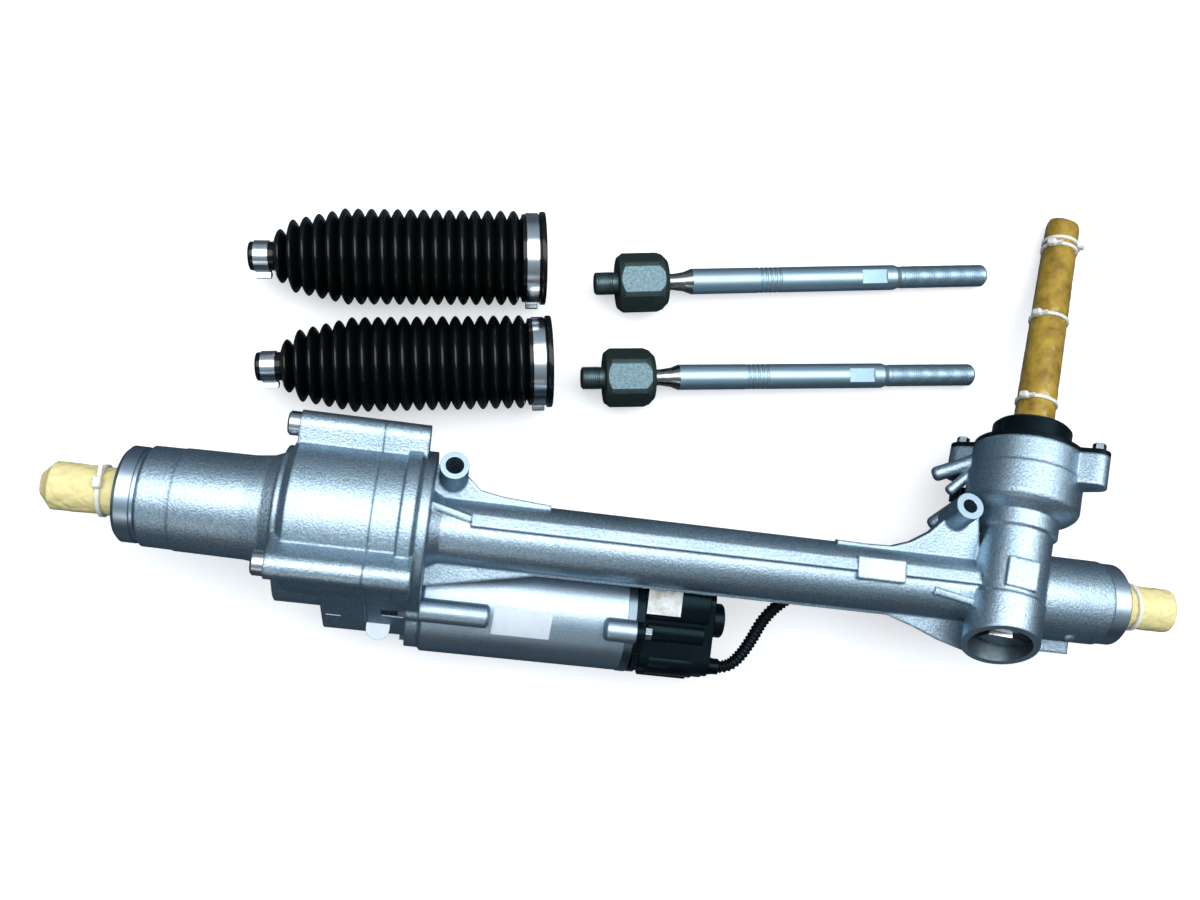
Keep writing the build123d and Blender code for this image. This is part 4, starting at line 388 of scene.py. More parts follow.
# Thermoplastic rubber boots: deep black, satin with a narrow sheen on each fold
BOOT_RUBBER = Finish("moulded_boot_rubber", "#050708", "#090B0C", 0.0, (0.15, 0.22), 18.0, 0.8, 0.02, specular=0.3)
# Waxed anti-rust paper: pale yellow, creased, slightly translucent where it is single
WAXED_PAPER = SoftFinish("waxed_antirust_paper", "#E4D89E", "#DACB8C", 0.0, (0.42, 0.55), 14.0,
                         1.2, 0.05, depth_mm=1.5, inside=0.25, crease_mm=11.0, crease_depth_mm=0.5)
AMBER_FILM = SoftFinish("amber_antirust_film", "#B59636", "#76590F", 0.0, (0.14, 0.26), 12.0,
                        1.4, 0.06, coat=0.5, depth_mm=2.0, inside=0.2, crease_mm=16.0, crease_depth_mm=0.35)
# Natural nylon ties: milky white
TIE_NYLON = SoftFinish("natural_nylon_tie", "#E3E3DD", "#D5D5CC", 0.0, (0.3, 0.42), 6.0,
                       0.6, 0.02, depth_mm=2.0, inside=0.35, crease_mm=20.0, crease_depth_mm=0.02)
# The bore round the pinion's end plug: its darker colour is painted shade inside the recess
BORE_PAINTED_SHADE = Finish("bore_painted_shade", "#63727A", "#4E5B62", 0.8, (0.38, 0.5), 6.0, 0.8, 0.03, 0.5)
# The ring at the motor's end, against the control unit
PLATE_STEEL = Finish("brushed_cover_plate", "#6F7F8A", "#5E6D78", 1.0, (0.26, 0.36), 14.0, 0.6, 0.02, 0.5)
# Satin label film, scuffed on the control unit
LABEL_FILM = Finish("satin_label_film", "#CBD4DC", "#C1CBD4", 0.0, (0.38, 0.46), 9.0, 0.8, 0.01)
LABEL_WORN = Finish("scuffed_label_film", "#DCE2E4", "#A9A49C", 0.0, (0.36, 0.5), 7.0, 0.8, 0.02)
# Pieces inside the housings, which show only when it is taken apart
GROUND_STEEL = Finish("ground_hardened_steel", "#8E9091", "#828485", 1.0, (0.2, 0.28), 20.0, 0.5, 0.01)
BEARING_STEEL = Finish("polished_bearing_steel", "#B9BBBD", "#AEB0B3", 1.0, (0.1, 0.18), 20.0, 0.4, 0.005)
STACKED_SHEET = TurnedFinish("stacked_electrical_sheet", "#6C6E70", "#5E6062", 0.9, (0.35, 0.45), 20.0, 0.5, 0.06)
COPPER_WIRE = TurnedFinish("enamelled_copper_wire", "#B4652E", "#9A5122", 0.9, (0.25, 0.35), 8.0, 1.2, 0.2)
SOLDER_MASK = Finish("green_solder_mask", "#0E4A26", "#0B3D1F", 0.0, (0.25, 0.35), 12.0, 1.0, 0.03)
BELT_RUBBER = Finish("toothed_belt_rubber", "#16181A", "#1D1F21", 0.0, (0.5, 0.6), 9.0, 0.8, 0.04)
SEAT_ACETAL = Finish("moulded_acetal", "#ECE9DD", "#E2DECF", 0.0, (0.3, 0.38), 20.0, 0.8, 0.01)

SOLIDS_BY_FINISH: tuple[tuple[Finish, str], ...] = (
    (CAST_ALUMINIUM, "left_housing rack_housing yoke"),
    (MOTOR_ALUMINIUM, "motor_housing"),
    (BLACK_NYLON, "control_unit_plate control_unit_cover power_connector sensor_plug sensor_connector torque_sensor"
                  " sensor_cover"),
    (ZINC_STEEL, "yoke_plug yoke_spring pinion_end_plug housing_screws motor_screws control_unit_screws cover_screws"
                 " nut_bearing_lock_ring nut_pulley motor_pulley"),
    (GROUND_STEEL, "ball_nut motor_shaft pinion_shaft torsion_bar input_shaft rack_bar"),
    (BEARING_STEEL, "motor_bearings nut_bearing_outer_race nut_bearing_inner_race nut_bearing_balls"
                    " pinion_lower_bearing pinion_upper_bearing input_bearing"),
    (STACKED_SHEET, "motor_rotor stator_core sensor_magnet_ring sensor_flux_ring"),
    (COPPER_WIRE, "stator_windings"),
    (BELT_RUBBER, "drive_belt"),
    (SOLDER_MASK, "control_unit_board"),
    (CONDUIT_BLACK, "sensor_cable"),
    (AMBER_FILM, "shaft_wrap"),
    (WAXED_PAPER, "rack_wrap_left rack_wrap_right"),
    (TIE_NYLON, "shaft_ties rack_wrap_ties"),
    (BOOT_RUBBER, "input_seal left_bellows right_bellows"),
    (BAND_STEEL, "left_bellows_large_clamp right_bellows_large_clamp left_bellows_small_clamp"
                 " right_bellows_small_clamp"),
    (PHOSPHATED_STEEL, "left_tie_rod_socket right_tie_rod_socket"),
    (SEAT_ACETAL, "left_ball_seat right_ball_seat"),
    (ROD_COAT, "left_tie_rod right_tie_rod"),
)
NODE_FINISHES = {name: finish for finish, names in SOLIDS_BY_FINISH for name in names.split()}


@dataclass
class Bench:
    """The drawing's place in the frame."""

    frame: dict
    offset: Vector = field(default_factory=Vector)

    def __post_init__(self) -> None:
        """Read the drawing's offset from the rack bar, which lies on its X axis."""
        low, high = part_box("rack_bar")
        middle = (low + high) / 2
        self.offset = Vector((middle.x - (RACK_LEFT_END + RACK_RIGHT_END) / 2 * MM, middle.y, 0.0))

    def point(self, place: Sequence[float]) -> Vector:
        """A drawing point in metres in the frame."""
        return Vector(place) * MM + self.offset

    def matrix(self, origin: Sequence[float], x_axis: Vector, z_axis: Vector) -> Matrix:
        """The matrix that takes a local drawing in millimetres to the frame.

        Args:
            origin: Where the local origin lies in the drawing.
            x_axis: The local X direction.
            z_axis: The local Z direction.

        Returns:
            The matrix, with the change of unit in it.
        """
        side = z_axis.normalized()
        first = (x_axis - side * x_axis.dot(side)).normalized()
        second = side.cross(first)
        turn = Matrix((first, second, side)).transposed().to_4x4()
        return Matrix.Translation(self.point(origin)) @ turn @ Matrix.Scale(MM, 4)

    def drawing(self) -> Matrix:
        """What takes points of the drawing to the frame."""
        return Matrix.Translation(self.offset) @ Matrix.Scale(MM, 4)

    def along_x(self, origin: Sequence[float]) -> Matrix:
        """A local frame whose Z runs along the rack and whose X points up."""
        return self.matrix(origin, Vector((0, 0, 1)), Vector((1, 0, 0)))

    def lying(self, place: Pair, height: float, yaw: float, dip: float = 0.0) -> Matrix:
        """The frame of a piece that lies on the table: Z along it, X across it.

        Args:
            place: Where its origin lies in X and Y.
            height: How high its origin lies.
            yaw: How far it is turned from the rack's line, in degrees.
            dip: How far Z is tipped down, in radians.

        Returns:
            The matrix, with the change of unit in it.
        """
        turn = math.radians(yaw)
        across = Vector((-math.sin(turn), math.cos(turn), 0))
        along = Vector((math.cos(turn) * math.cos(dip), math.sin(turn) * math.cos(dip), -math.sin(dip)))
        return self.matrix((*place, height), across, along)

    def tower(self) -> Matrix:
        """The pinion's frame: Z up the pinion, X towards the viewer.

        Returns:
            The matrix, with the change of unit in it.
        """
        lean, drop = PINION_LEAN_SIDEWAYS, PINION_LEAN_DOWN
        across = Vector((0, math.cos(drop), -math.sin(drop)))
        upward = Vector((0, math.sin(drop), math.cos(drop)))
        direction = across * math.cos(lean) + Vector((math.sin(lean), 0, 0))
        origin = Vector((PINION_STATION, 0, RACK_HEIGHT)) + upward * MESH_OFFSET
        return self.matrix(origin, upward, direction)

    def paint(self, node: str, finish: Finish, belongs: Callable[[Vector, Vector], bool]) -> None:
        """Give the faces that belong to a zone of a solid their own finish.

        Args:
            node: The solid.
            finish: The zone's finish.
            belongs: Tells from a face's middle in the drawing and its normal whether it is in the zone.
        """
        solid = self.frame["nodes"][node]
        solid.data.materials.append(finish.build())
        index = len(solid.data.materials) - 1
        count = 0
        for face in solid.data.polygons:
            if belongs((face.center - self.offset) / MM, face.normal):
                face.material_index = index
                count += 1
        log.info("%s: %d faces are %s", node, count, finish.name)


def make_mesh(name: str, points: Iterable[Sequence[float]], faces: Iterable[Sequence[int]],
              matrix: Matrix) -> Mesh:
    """Build a mesh from drawing points, with its faces pointing outwards.

    Args:
        name: The mesh's name.
        points: Its points in the local drawing.
        faces: Its faces as indices of the points.
        matrix: What takes the local drawing to the frame.

    Returns:
        The finished mesh.
    """
    mesh = bpy.data.meshes.new(name)
    mesh.from_pydata([tuple(matrix @ Vector(p)) for p in points], [], [tuple(f) for f in faces])
    work = bmesh.new()
    work.from_mesh(mesh)
    bmesh.ops.remove_doubles(work, verts=work.verts, dist=1e-6)
    bmesh.ops.recalc_face_normals(work, faces=work.faces)
    work.to_mesh(mesh)
    work.free()
    return mesh


def add_piece(name: str, mesh: Mesh, finish: Finish, body: Body,
              stands_for: Sequence[str] = (), sharp: float = 35.0) -> bpy.types.Object:
    """Link a mesh as a piece that rides on a body.

    Args:
        name: The piece's name.
        mesh: Its mesh, already in the frame.
        finish: Its finish.
        body: The body it rides on.
        stands_for: The solids that it replaces.
        sharp: The angle in degrees from which an edge stays sharp.

    Returns:
        The piece's object.
    """
    mesh.materials.clear()
    mesh.materials.append(finish.build())
    mesh.shade_smooth()
    mesh.set_sharp_from_angle(angle=math.radians(sharp))
    piece = link_object(name, mesh)
    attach(piece, body.value)
    if stands_for:
        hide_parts(*stands_for)
    log.info("%s: %d faces on %s", name, len(mesh.polygons), body.value)
    return piece


def ring_faces(rings: int, sides: int, closed: bool = False) -> list[list[int]]:
    """Faces between rings of points that follow each other.

    Args:
        rings: How many rings there are.
        sides: How many points each ring has.
        closed: Whether the last ring joins the first.

    Returns:
        The faces as indices of the points.
    """
    faces = []
    for ring in range(rings if closed else rings - 1):
        below, above = ring * sides, (ring + 1) % rings * sides
        for side in range(sides):
            after = (side + 1) % sides
            faces.append([below + side, below + after, above + after, above + side])
    return faces


def capped_faces(rings: int, sides: int) -> list[list[int]]:
    """Faces between rings of points, and one over each end."""
    ends = [list(range(sides))[::-1], list(range((rings - 1) * sides, rings * sides))]
    return ring_faces(rings, sides) + ends


def turned_shape(profile: Sequence[Pair], steps: int, closed: bool = False) -> Shape:
    """Points and faces of a shape turned round Z.

    Args:
        profile: Radius and height of each ring.
        steps: How many points go round.
        closed: Whether the last ring joins the first.

    Returns:
        The points and the faces.
    """
    turns = [FULL_TURN * step / steps for step in range(steps)]
    points = [(radius * math.cos(turn), radius * math.sin(turn), height)
              for radius, height in profile for turn in turns]
    return points, ring_faces(len(profile), steps, closed)


def band_shape(path: Sequence[Pair], thickness: float, width: float) -> Shape:
    """Points and faces of a flat strip bent along a closed path in the XY plane.

    Args:
        path: The inner line of the strip.
        thickness: How thick it is, outwards from the line.
        width: How wide it is along Z.

    Returns:
        The points and the faces.
    """
    points = []
    rim = thickness * BAND_RIM_SHARE
    for index, (x, y) in enumerate(path):
        before, after = path[index - 1], path[(index + 1) % len(path)]
        run = Vector((after[0] - before[0], after[1] - before[1])).normalized()
        out = Vector((run.y, -run.x)) * thickness
        for share, height in ((0, 0), (1, rim), (1, width - rim), (0, width)):
            points.append((x + out.x * share, y + out.y * share, height - width / 2))
    return points, ring_faces(len(path), 4, True)


def polar(reach: float, turn: float) -> Pair:
    """The point at a distance from the origin, at an angle in degrees."""
    return reach * math.cos(math.radians(turn)), reach * math.sin(math.radians(turn))


def arc(radius: float, start: float, end: float, steps: int) -> list[Pair]:
    """Points on an arc round the origin, angles in degrees."""
    return [polar(radius, start + (end - start) * step / steps) for step in range(steps + 1)]


def joined_shapes(shapes: Iterable[Shape]) -> Shape:
    """Join the points and faces of several shapes.

    Args:
        shapes: The shapes.

    Returns:
        The points and the faces.
    """
    points: list[Triple] = []
    faces: list[list[int]] = []
    for more_points, more_faces in shapes:
        start = len(points)
        points += more_points
        faces += [[start + index for index in face] for face in more_faces]
    return points, faces


def block_shape(centre: Triple, size: Triple, chamfer: float) -> Shape:
    """A block whose edges along Z are chamfered and whose top is drawn in.

    Args:
        centre: Its middle.
        size: Its three lengths.
        chamfer: How far the corners are cut.

    Returns:
        The points and the faces.
    """
    half_x, half_y, half_z = (length / 2 for length in size)
    outline = [(half_x - chamfer, -half_y), (half_x, -half_y + chamfer), (half_x, half_y - chamfer),
               (half_x - chamfer, half_y), (-half_x + chamfer, half_y), (-half_x, half_y - chamfer),
               (-half_x, -half_y + chamfer), (-half_x + chamfer, -half_y)]
    drawn_in = 1 - chamfer / half_x
    levels = ((drawn_in, -half_z), (1, -half_z + chamfer), (1, half_z - chamfer), (drawn_in, half_z))
    points = [(centre[0] + x * share, centre[1] + y * share, centre[2] + z) for share, z in levels for x, y in outline]
    return points, capped_faces(len(levels), len(outline))


class Recipe:
    """A Geometry Nodes tree with named sizes that ends in a plain mesh."""

    def __init__(self, name: str) -> None:
        """Start an empty tree with its geometry sockets.

        Args:
            name: The tree's name.
        """
        self.tree = bpy.data.node_groups.new(name, "GeometryNodeTree")
        self.tree.interface.new_socket("Geometry", in_out="INPUT", socket_type="NodeSocketGeometry")
        self.tree.interface.new_socket("Geometry", in_out="OUTPUT", socket_type="NodeSocketGeometry")
        self.start = self.tree.nodes.new("NodeGroupInput")
        self.names: dict[str, str] = {}

    def size(self, name: str, kind: str = "NodeSocketFloat") -> Socket:
        """Add a named input and return the socket that carries it.

        Args:
            name: The input's name.
            kind: Its socket type.

        Returns:
            The output socket of the group's input node.
        """
        made = self.tree.interface.new_socket(name, in_out="INPUT", socket_type=kind)
        self.names[name] = made.identifier
        return self.start.outputs[name]

    def add(self, kind: str, sockets: dict | None = None, **settings) -> bpy.types.Node:
        """Add a node to this tree."""
        return add(self.tree, kind, sockets, **settings)

    def math(self, operation: str, first: Socket | float, second: Socket | float = 0.0) -> Socket:
        """Add one sum and return its result."""
        return self.add("ShaderNodeMath", {0: first, 1: second}, operation=operation).outputs[0]

    def sweep(self, line: Socket, sides: int, radius: float | Socket, **extra) -> None:
        """Sweep a section along a line and end the tree with it.

        Args:
            line: The curve to follow.
            sides: How many sides the section has.
            radius: The section's radius.
            extra: Further inputs of the sweep.
        """
        ring = self.add("GeometryNodeCurvePrimitiveCircle", {"Resolution": sides, "Radius": radius}, mode="RADIUS")
        swept = self.add("GeometryNodeCurveToMesh", {"Curve": line, "Profile Curve": ring.outputs[0],
                                                     "Fill Caps": True, **extra})
        self.close(swept.outputs[0])

    def close(self, geometry: Socket) -> None:
        """End the tree with plain, finished geometry.

        Args:
            geometry: What the tree has made.
        """
        finish = self.size("Material", "NodeSocketMaterial")
        plain = self.add("GeometryNodeRealizeInstances", {"Geometry": geometry})
        dressed = self.add("GeometryNodeSetMaterial", {"Geometry": plain.outputs[0], "Material": finish})
        self.add("NodeGroupOutput", {"Geometry": dressed.outputs[0]})

    def run(self, name: str, finish: Finish, matrix: Matrix, base: Mesh | None = None,
            **sizes: float) -> Mesh:
        """Evaluate the tree and return its mesh in the frame.

        Args:
            name: The mesh's name.
            finish: The finish that the tree sets.
            matrix: What takes the tree's drawing to the frame.
            base: The mesh that the tree starts from, if it needs one.
            sizes: The named inputs.

        Returns:
            The plain mesh.
        """
        holder = link_object(name + "_work", base or bpy.data.meshes.new(name + "_base"))
        modifier = holder.modifiers.new("recipe", "NODES")
        modifier.node_group = self.tree
        for key, value in {**sizes, "Material": finish.build()}.items():
            modifier[self.names[key]] = value
        bpy.context.view_layer.update()
        ready = holder.evaluated_get(bpy.context.evaluated_depsgraph_get())
        mesh = bpy.data.meshes.new_from_object(ready)
        holder.modifiers.remove(modifier)
        bpy.data.objects.remove(holder)
        mesh.name = name
        mesh.transform(matrix)
        return mesh


def thread_recipe() -> Recipe:
    """A screw thread: a four-sided ridge along a spiral round Z.

    Returns:
        The recipe.
    """
    recipe = Recipe("screw_thread")
    pitch, length, radius, depth = (recipe.size(name) for name in ("Pitch", "Length", "Radius", "Depth"))
    turns = recipe.math("DIVIDE", length, pitch)
    spiral = recipe.add("GeometryNodeCurveSpiral", {"Resolution": 40, "Rotations": turns, "Start Radius": radius,
                                                    "End Radius": radius, "Height": length})
    recipe.sweep(spiral.outputs[0], 4, depth)
    return recipe


def conduit_recipe() -> Recipe:
    """A ribbed conduit that follows the edges of the mesh it is given.

    Returns:
        The recipe.
    """
    recipe = Recipe("ribbed_conduit")
    radius, depth, pitch = (recipe.size(name) for name in ("Radius", "Depth", "Pitch"))
    line = recipe.add("GeometryNodeMeshToCurve", {"Mesh": recipe.start.outputs["Geometry"]})
    along = recipe.add("GeometryNodeSplineParameter").outputs["Length"]
    turn = recipe.math("MULTIPLY", recipe.math("DIVIDE", along, pitch), FULL_TURN)
    wave = recipe.math("MULTIPLY", recipe.math("SUBTRACT", recipe.math("SINE", turn), 1.0), depth)
    size = recipe.math("ADD", recipe.math("MULTIPLY", wave, 0.5), radius)
    recipe.sweep(line.outputs[0], 20, 1.0, Scale=size)
    return recipe


def comb_recipe() -> Recipe:
    """Small ribs set evenly along the edges of the mesh it is given, each lying along X.

    Returns:
        The recipe.
    """
    recipe = Recipe("comb_of_ribs")
    pitch, height, width, length = (recipe.size(name) for name in ("Pitch", "Height", "Width", "Length"))
    line = recipe.add("GeometryNodeMeshToCurve", {"Mesh": recipe.start.outputs["Geometry"]})
    spots = recipe.add("GeometryNodeCurveToPoints", {"Curve": line.outputs[0], "Length": pitch}, mode="LENGTH")
    size = recipe.add("ShaderNodeCombineXYZ", {"X": length, "Y": width, "Z": height})
    rib = recipe.add("GeometryNodeMeshCube", {"Size": size.outputs[0]})
    along = recipe.add("FunctionNodeAlignEulerToVector", {"Vector": spots.outputs["Tangent"]}, axis="Y",
                       pivot_axis="X")
    many = recipe.add("GeometryNodeInstanceOnPoints", {"Points": spots.outputs[0], "Instance": rib.outputs[0],
                                                       "Rotation": along.outputs[0]})
    recipe.close(many.outputs[0])
    return recipe


@dataclass
class Castings:
    """The aluminium housings: their turned and milled zones, a painted highlight on two lug tops and painted shade in
    the foot's bore.
    """

    bench: Bench
    left_seat_end: float = -327.4
    right_seat_start: float = 330.0
    mouth_slant: float = math.radians(19.0)
    mouth_facing: float = 0.995
    tower_start: float = 150.0
    eye_lean: float = math.radians(25.0)
    eyes: tuple[Triple, ...] = ((-135.0, 44.3, 105.0), (217.0, 59.0, 105.0))
    eye_reach: float = 11.0
    eye_facing: float = 0.99
    foot_bore_reach: float = 21.5
    foot_bore_zone: Pair = (-55.5, -25.5)
    painted_highlight_boxes: tuple[tuple[Triple, Triple], ...] = (
        ((-210.0, -68.0, 60.0), (-198.0, -46.0, 75.0)), ((-184.0, -86.0, 58.0), (-164.0, -56.0, 70.0)))
    flat_facing: float = 0.9

    def dress(self) -> None:
        """Paint the turned and milled zones of the castings, the painted highlight on two lug tops and the painted
        shade in the foot's bore.
        """
        tower = self.bench.tower()
        to_tower = tower.inverted()
        eye_normal = Vector((0, math.sin(self.eye_lean), math.cos(self.eye_lean)))
        slant = Vector((math.sin(self.mouth_slant), 0, -math.cos(self.mouth_slant)))
        mouth = (tower.to_3x3() @ slant).normalized()

        def is_eye_face(middle: Vector, normal: Vector) -> bool:
            """Whether a face is on top of a mounting eyelet."""
            near = any((middle - Vector(eye)).length < self.eye_reach for eye in self.eyes)
            return near and normal.dot(eye_normal) > self.eye_facing

        def is_mouth(middle: Vector, normal: Vector) -> bool:
            """Whether a face is the rim of the tower's slanted mouth."""
            return normal.dot(mouth) > self.mouth_facing and middle.x > self.tower_start

        def is_painted_highlight_lug_top(middle: Vector, normal: Vector) -> bool:
            """Whether a face is on top of one of the two lugs that get the painted highlight."""
            return normal.z > self.flat_facing and any(
                all(lower < value < upper for lower, value, upper in zip(low, middle, high))
                for low, high in self.painted_highlight_boxes)

        def is_foot_bore(middle: Vector, normal: Vector) -> bool:
            """Whether a face is inside the bore at the tower's foot."""
            local = to_tower @ (middle * MM + self.bench.offset)
            low, high = self.foot_bore_zone
            return math.hypot(local.x, local.y) < self.foot_bore_reach and low < local.z < high

        # The lug tops get a painted highlight and the foot's bore a painted shade; the other zones are turned and
        # milled faces.
        for node, finish, belongs in (
                ("left_housing", TURNED_ALUMINIUM, lambda middle, normal: middle.x < self.left_seat_end),
                ("rack_housing", TURNED_ALUMINIUM, lambda middle, normal: middle.x > self.right_seat_start),
                ("rack_housing", MILLED_ALUMINIUM, is_eye_face), ("rack_housing", MILLED_ALUMINIUM, is_mouth),
                ("left_housing", LUG_TOP_PAINTED_HIGHLIGHT, is_painted_highlight_lug_top), ("rack_housing", LUG_TOP_PAINTED_HIGHLIGHT, is_painted_highlight_lug_top),
                ("rack_housing", BORE_PAINTED_SHADE, is_foot_bore)):
            self.bench.paint(node, finish, belongs)


@dataclass
class MotorDetails:
    """Bare labels, the ring at the motor's end, and the ribs and forms of its control unit."""

    bench: Bench
    motor_radius: float = 38.5
    label_gap: float = 0.03
    label_thickness: float = 0.12
    label_slant: float = 0.045
    label_steps: int = 12
    motor_label: tuple[Pair, Pair] = ((-97.0, -57.0), (-49.0, -68.0))
    unit_label: tuple[Pair, Pair] = ((8.0, 32.0), (-25.0, -43.0))
    unit_label_thickness: float = 0.16
    unit_label_lift: float = 0.05
    unit_label_chamfer: float = 0.05
    ring_band: Pair = (-5.2, 1.0)
    ring_lifts: Pair = (0.02, 0.45)
    ring_slope: float = 0.2
    ring_sides: int = 96
    comb_station: float = 4.2
    comb_sizes: tuple[tuple[str, float], ...] = (("Pitch", 1.7), ("Length", 4.6), ("Width", 0.8), ("Height", 1.2))
    unit_half: Pair = (32.0, 33.0)
    unit_corner: float = 12.0
    unit_middle: Pair = (-53.0, 38.5)
    ridge_end_share: float = 0.92
    ridge_end_length: float = 0.8
    ridges: tuple[tuple[float, float, tuple[Pair, ...]], ...] = (
        (8.2, 53.0, ((-21.6, 70.0), (-22.4, 72.2), (-23.8, 73.2), (-44.8, 73.2), (-46.6, 72.4), (-47.6, 70.4))),
        (10.0, 50.5, ((-48.6, 70.2), (-49.6, 72.2), (-51.8, 73.4), (-55.5, 73.9), (-59.0, 73.3), (-61.6, 71.9),
                      (-62.8, 70.0))),
        (13.0, 46.5, ((-70.5, 68.2), (-71.5, 70.6), (-74.0, 71.8), (-79.0, 71.2), (-84.2, 67.6), (-86.8, 62.0),
                      (-87.0, 50.0), (-84.0, 50.0))),
        (9.0, 44.0, ((-85.0, 56.5), (-87.4, 57.0), (-89.2, 56.0), (-89.2, 50.0), (-85.0, 49.0))))

    def comb_line(self) -> Mesh:
        """The outline of the control unit, on which the comb's ribs stand.

        Returns:
            A mesh of edges alone.
        """
        (half_y, half_z), (middle_y, middle_z), corner = self.unit_half, self.unit_middle, self.unit_corner
        points = []
        for quarter, (sign_y, sign_z) in enumerate(((1, 1), (-1, 1), (-1, -1), (1, -1))):
            centre_y, centre_z = middle_y + sign_y * (half_y - corner), middle_z + sign_z * (half_z - corner)
            points += [self.bench.point((self.comb_station, centre_y + y, centre_z + z))
                       for y, z in arc(corner, 90 * quarter, 90 * quarter + 90, 6)]
        mesh = bpy.data.meshes.new("comb_line")
        mesh.from_pydata(points, [(index, (index + 1) % len(points)) for index in range(len(points))], [])
        return mesh

    def ridge_shape(self, start: float, end: float, section: Sequence[Pair]) -> Shape:
        """A moulded form with one section, drawn along X, with its ends drawn in.

        Args:
            start: Where it starts along X.
            end: Where it ends.
            section: Its outline in Y and Z.

        Returns:
            The points and the faces.
        """
        middle = [sum(point[axis] for point in section) / len(section) for axis in (0, 1)]
        rings = ((start, self.ridge_end_share), (start + self.ridge_end_length, 1.0),
                 (end - self.ridge_end_length, 1.0), (end, self.ridge_end_share))
        points = [(x, middle[0] + (y - middle[0]) * share, middle[1] + (z - middle[1]) * share)
                  for x, share in rings for y, z in section]
        return points, capped_faces(len(rings), len(section))

    def motor_label_shape(self) -> Shape:
        """The label that lies on the round motor can.

        Returns:
            The points and the faces.
        """
        (left, right), (back, front) = self.motor_label
        points: list[Triple] = []
        faces: list[list[int]] = []
        for lift in (0.0, self.label_thickness):
            for row in range(self.label_steps + 1):
                y = back + (front - back) * row / self.label_steps
                reach = self.motor_radius + self.label_gap + lift
                z = MOTOR_Z + math.sqrt(reach ** 2 - (y - MOTOR_Y) ** 2)
                shift = self.label_slant * (y - back)
                points += [(left + shift, y, z), (right + shift, y, z)]
        top = 2 * (self.label_steps + 1)
        for low in range(0, top - 2, 2):
            faces.append([low, low + 1, low + 3, low + 2])
            faces.append([top + low, top + low + 2, top + low + 3, top + low + 1])
        rim = [*range(0, top, 2), *range(top - 1, 0, -2)]
        faces += [[here, after, top + after, top + here] for here, after in zip(rim, rim[1:] + rim[:1])]
        return points, faces

    def build(self) -> None:
        """Make the labels, the ring, the comb of ribs and the cover's raised forms."""
        drawing = self.bench.drawing()
        label = make_mesh("motor_label", *self.motor_label_shape(), drawing)
        add_piece("motor_label", label, LABEL_FILM, Body.HOUSING)
        (left, right), (back, front) = self.unit_label
        top = max(z for _, z in self.ridges[0][2]) + self.unit_label_lift
        size = (right - left, back - front, self.unit_label_thickness)
        flat = block_shape(((left + right) / 2, (back + front) / 2, top), size, self.unit_label_chamfer)
        label = make_mesh("control_unit_label", *flat, drawing)
        add_piece("control_unit_label", label, LABEL_WORN, Body.HOUSING)
        start, end = self.ring_band
        inner, outer = (self.motor_radius + lift for lift in self.ring_lifts)
        section = [(inner, start), (outer, start + self.ring_slope), (outer, end - self.ring_slope), (inner, end)]
        ring = make_mesh("motor_end_ring", *turned_shape(section, self.ring_sides),
                         self.bench.along_x((0, MOTOR_Y, MOTOR_Z)))
        add_piece("motor_end_ring", ring, PLATE_STEEL, Body.HOUSING)
        comb = comb_recipe().run("control_unit_comb", BLACK_NYLON, Matrix.Identity(4), self.comb_line(),
                                 **{name: value * MM for name, value in self.comb_sizes})
        add_piece("control_unit_comb", comb, BLACK_NYLON, Body.HOUSING)
        forms = joined_shapes(self.ridge_shape(*ridge) for ridge in self.ridges)
        ridges = make_mesh("control_unit_ridges", *forms, drawing)
        add_piece("control_unit_ridges", ridges, BLACK_NYLON, Body.HOUSING, sharp=50.0)


@dataclass
class SensorLoom:
    """The ribbed conduit from the control unit to the sensor."""

    bench: Bench
    radius: float = 4.8
    rib_depth: float = 1.0
    rib_pitch: float = 3.0
    samples: int = 48
    route: tuple[Triple, ...] = (
        (74.0, -83.0, 31.0), (81.0, -82.0, 31.5), (88.5, -72.5, 35.0), (94.5, -58.0, 39.5),
        (99.0, -44.0, 43.0), (107.5, -32.0, 45.0), (120.0, -21.5, 45.5), (138.0, -11.0, 45.0),
        (160.0, -3.0, 44.0), (184.0, 2.0, 43.5), (205.0, 10.0, 43.5), (222.0, 22.0, 44.0),
        (234.0, 37.0, 45.0), (239.5, 49.0, 45.7), (240.0, 59.0, 46.0))

    def line(self) -> Mesh:
        """The smooth line that the conduit follows, as Blender draws its spline.

        Returns:
            A mesh of edges alone.
        """
        curve = bpy.data.curves.new("sensor_cable_line", "CURVE")
        curve.dimensions = "3D"
        curve.resolution_u = self.samples
        spline = curve.splines.new("NURBS")
        spline.points.add(len(self.route) - 1)
        for place, point in zip(self.route, spline.points):
            point.co = (*self.bench.point(place), 1.0)
        spline.order_u = 3
        spline.use_endpoint_u = True
        holder = link_object("sensor_cable_line", curve)
        bpy.context.view_layer.update()
        mesh = bpy.data.meshes.new_from_object(holder)
        bpy.data.objects.remove(holder)
        return mesh

    def build(self) -> None:
        line = self.line()
        mesh = conduit_recipe().run("sensor_conduit", CONDUIT_BLACK, Matrix.Identity(4), line,
                                    Radius=self.radius * MM, Depth=self.rib_depth * MM,
                                    Pitch=self.rib_pitch * MM)
        piece = add_piece("sensor_conduit", mesh, CONDUIT_BLACK, Body.HOUSING,
                          ["sensor_cable"], sharp=60.0)
        self.bench.point(self.route[0])


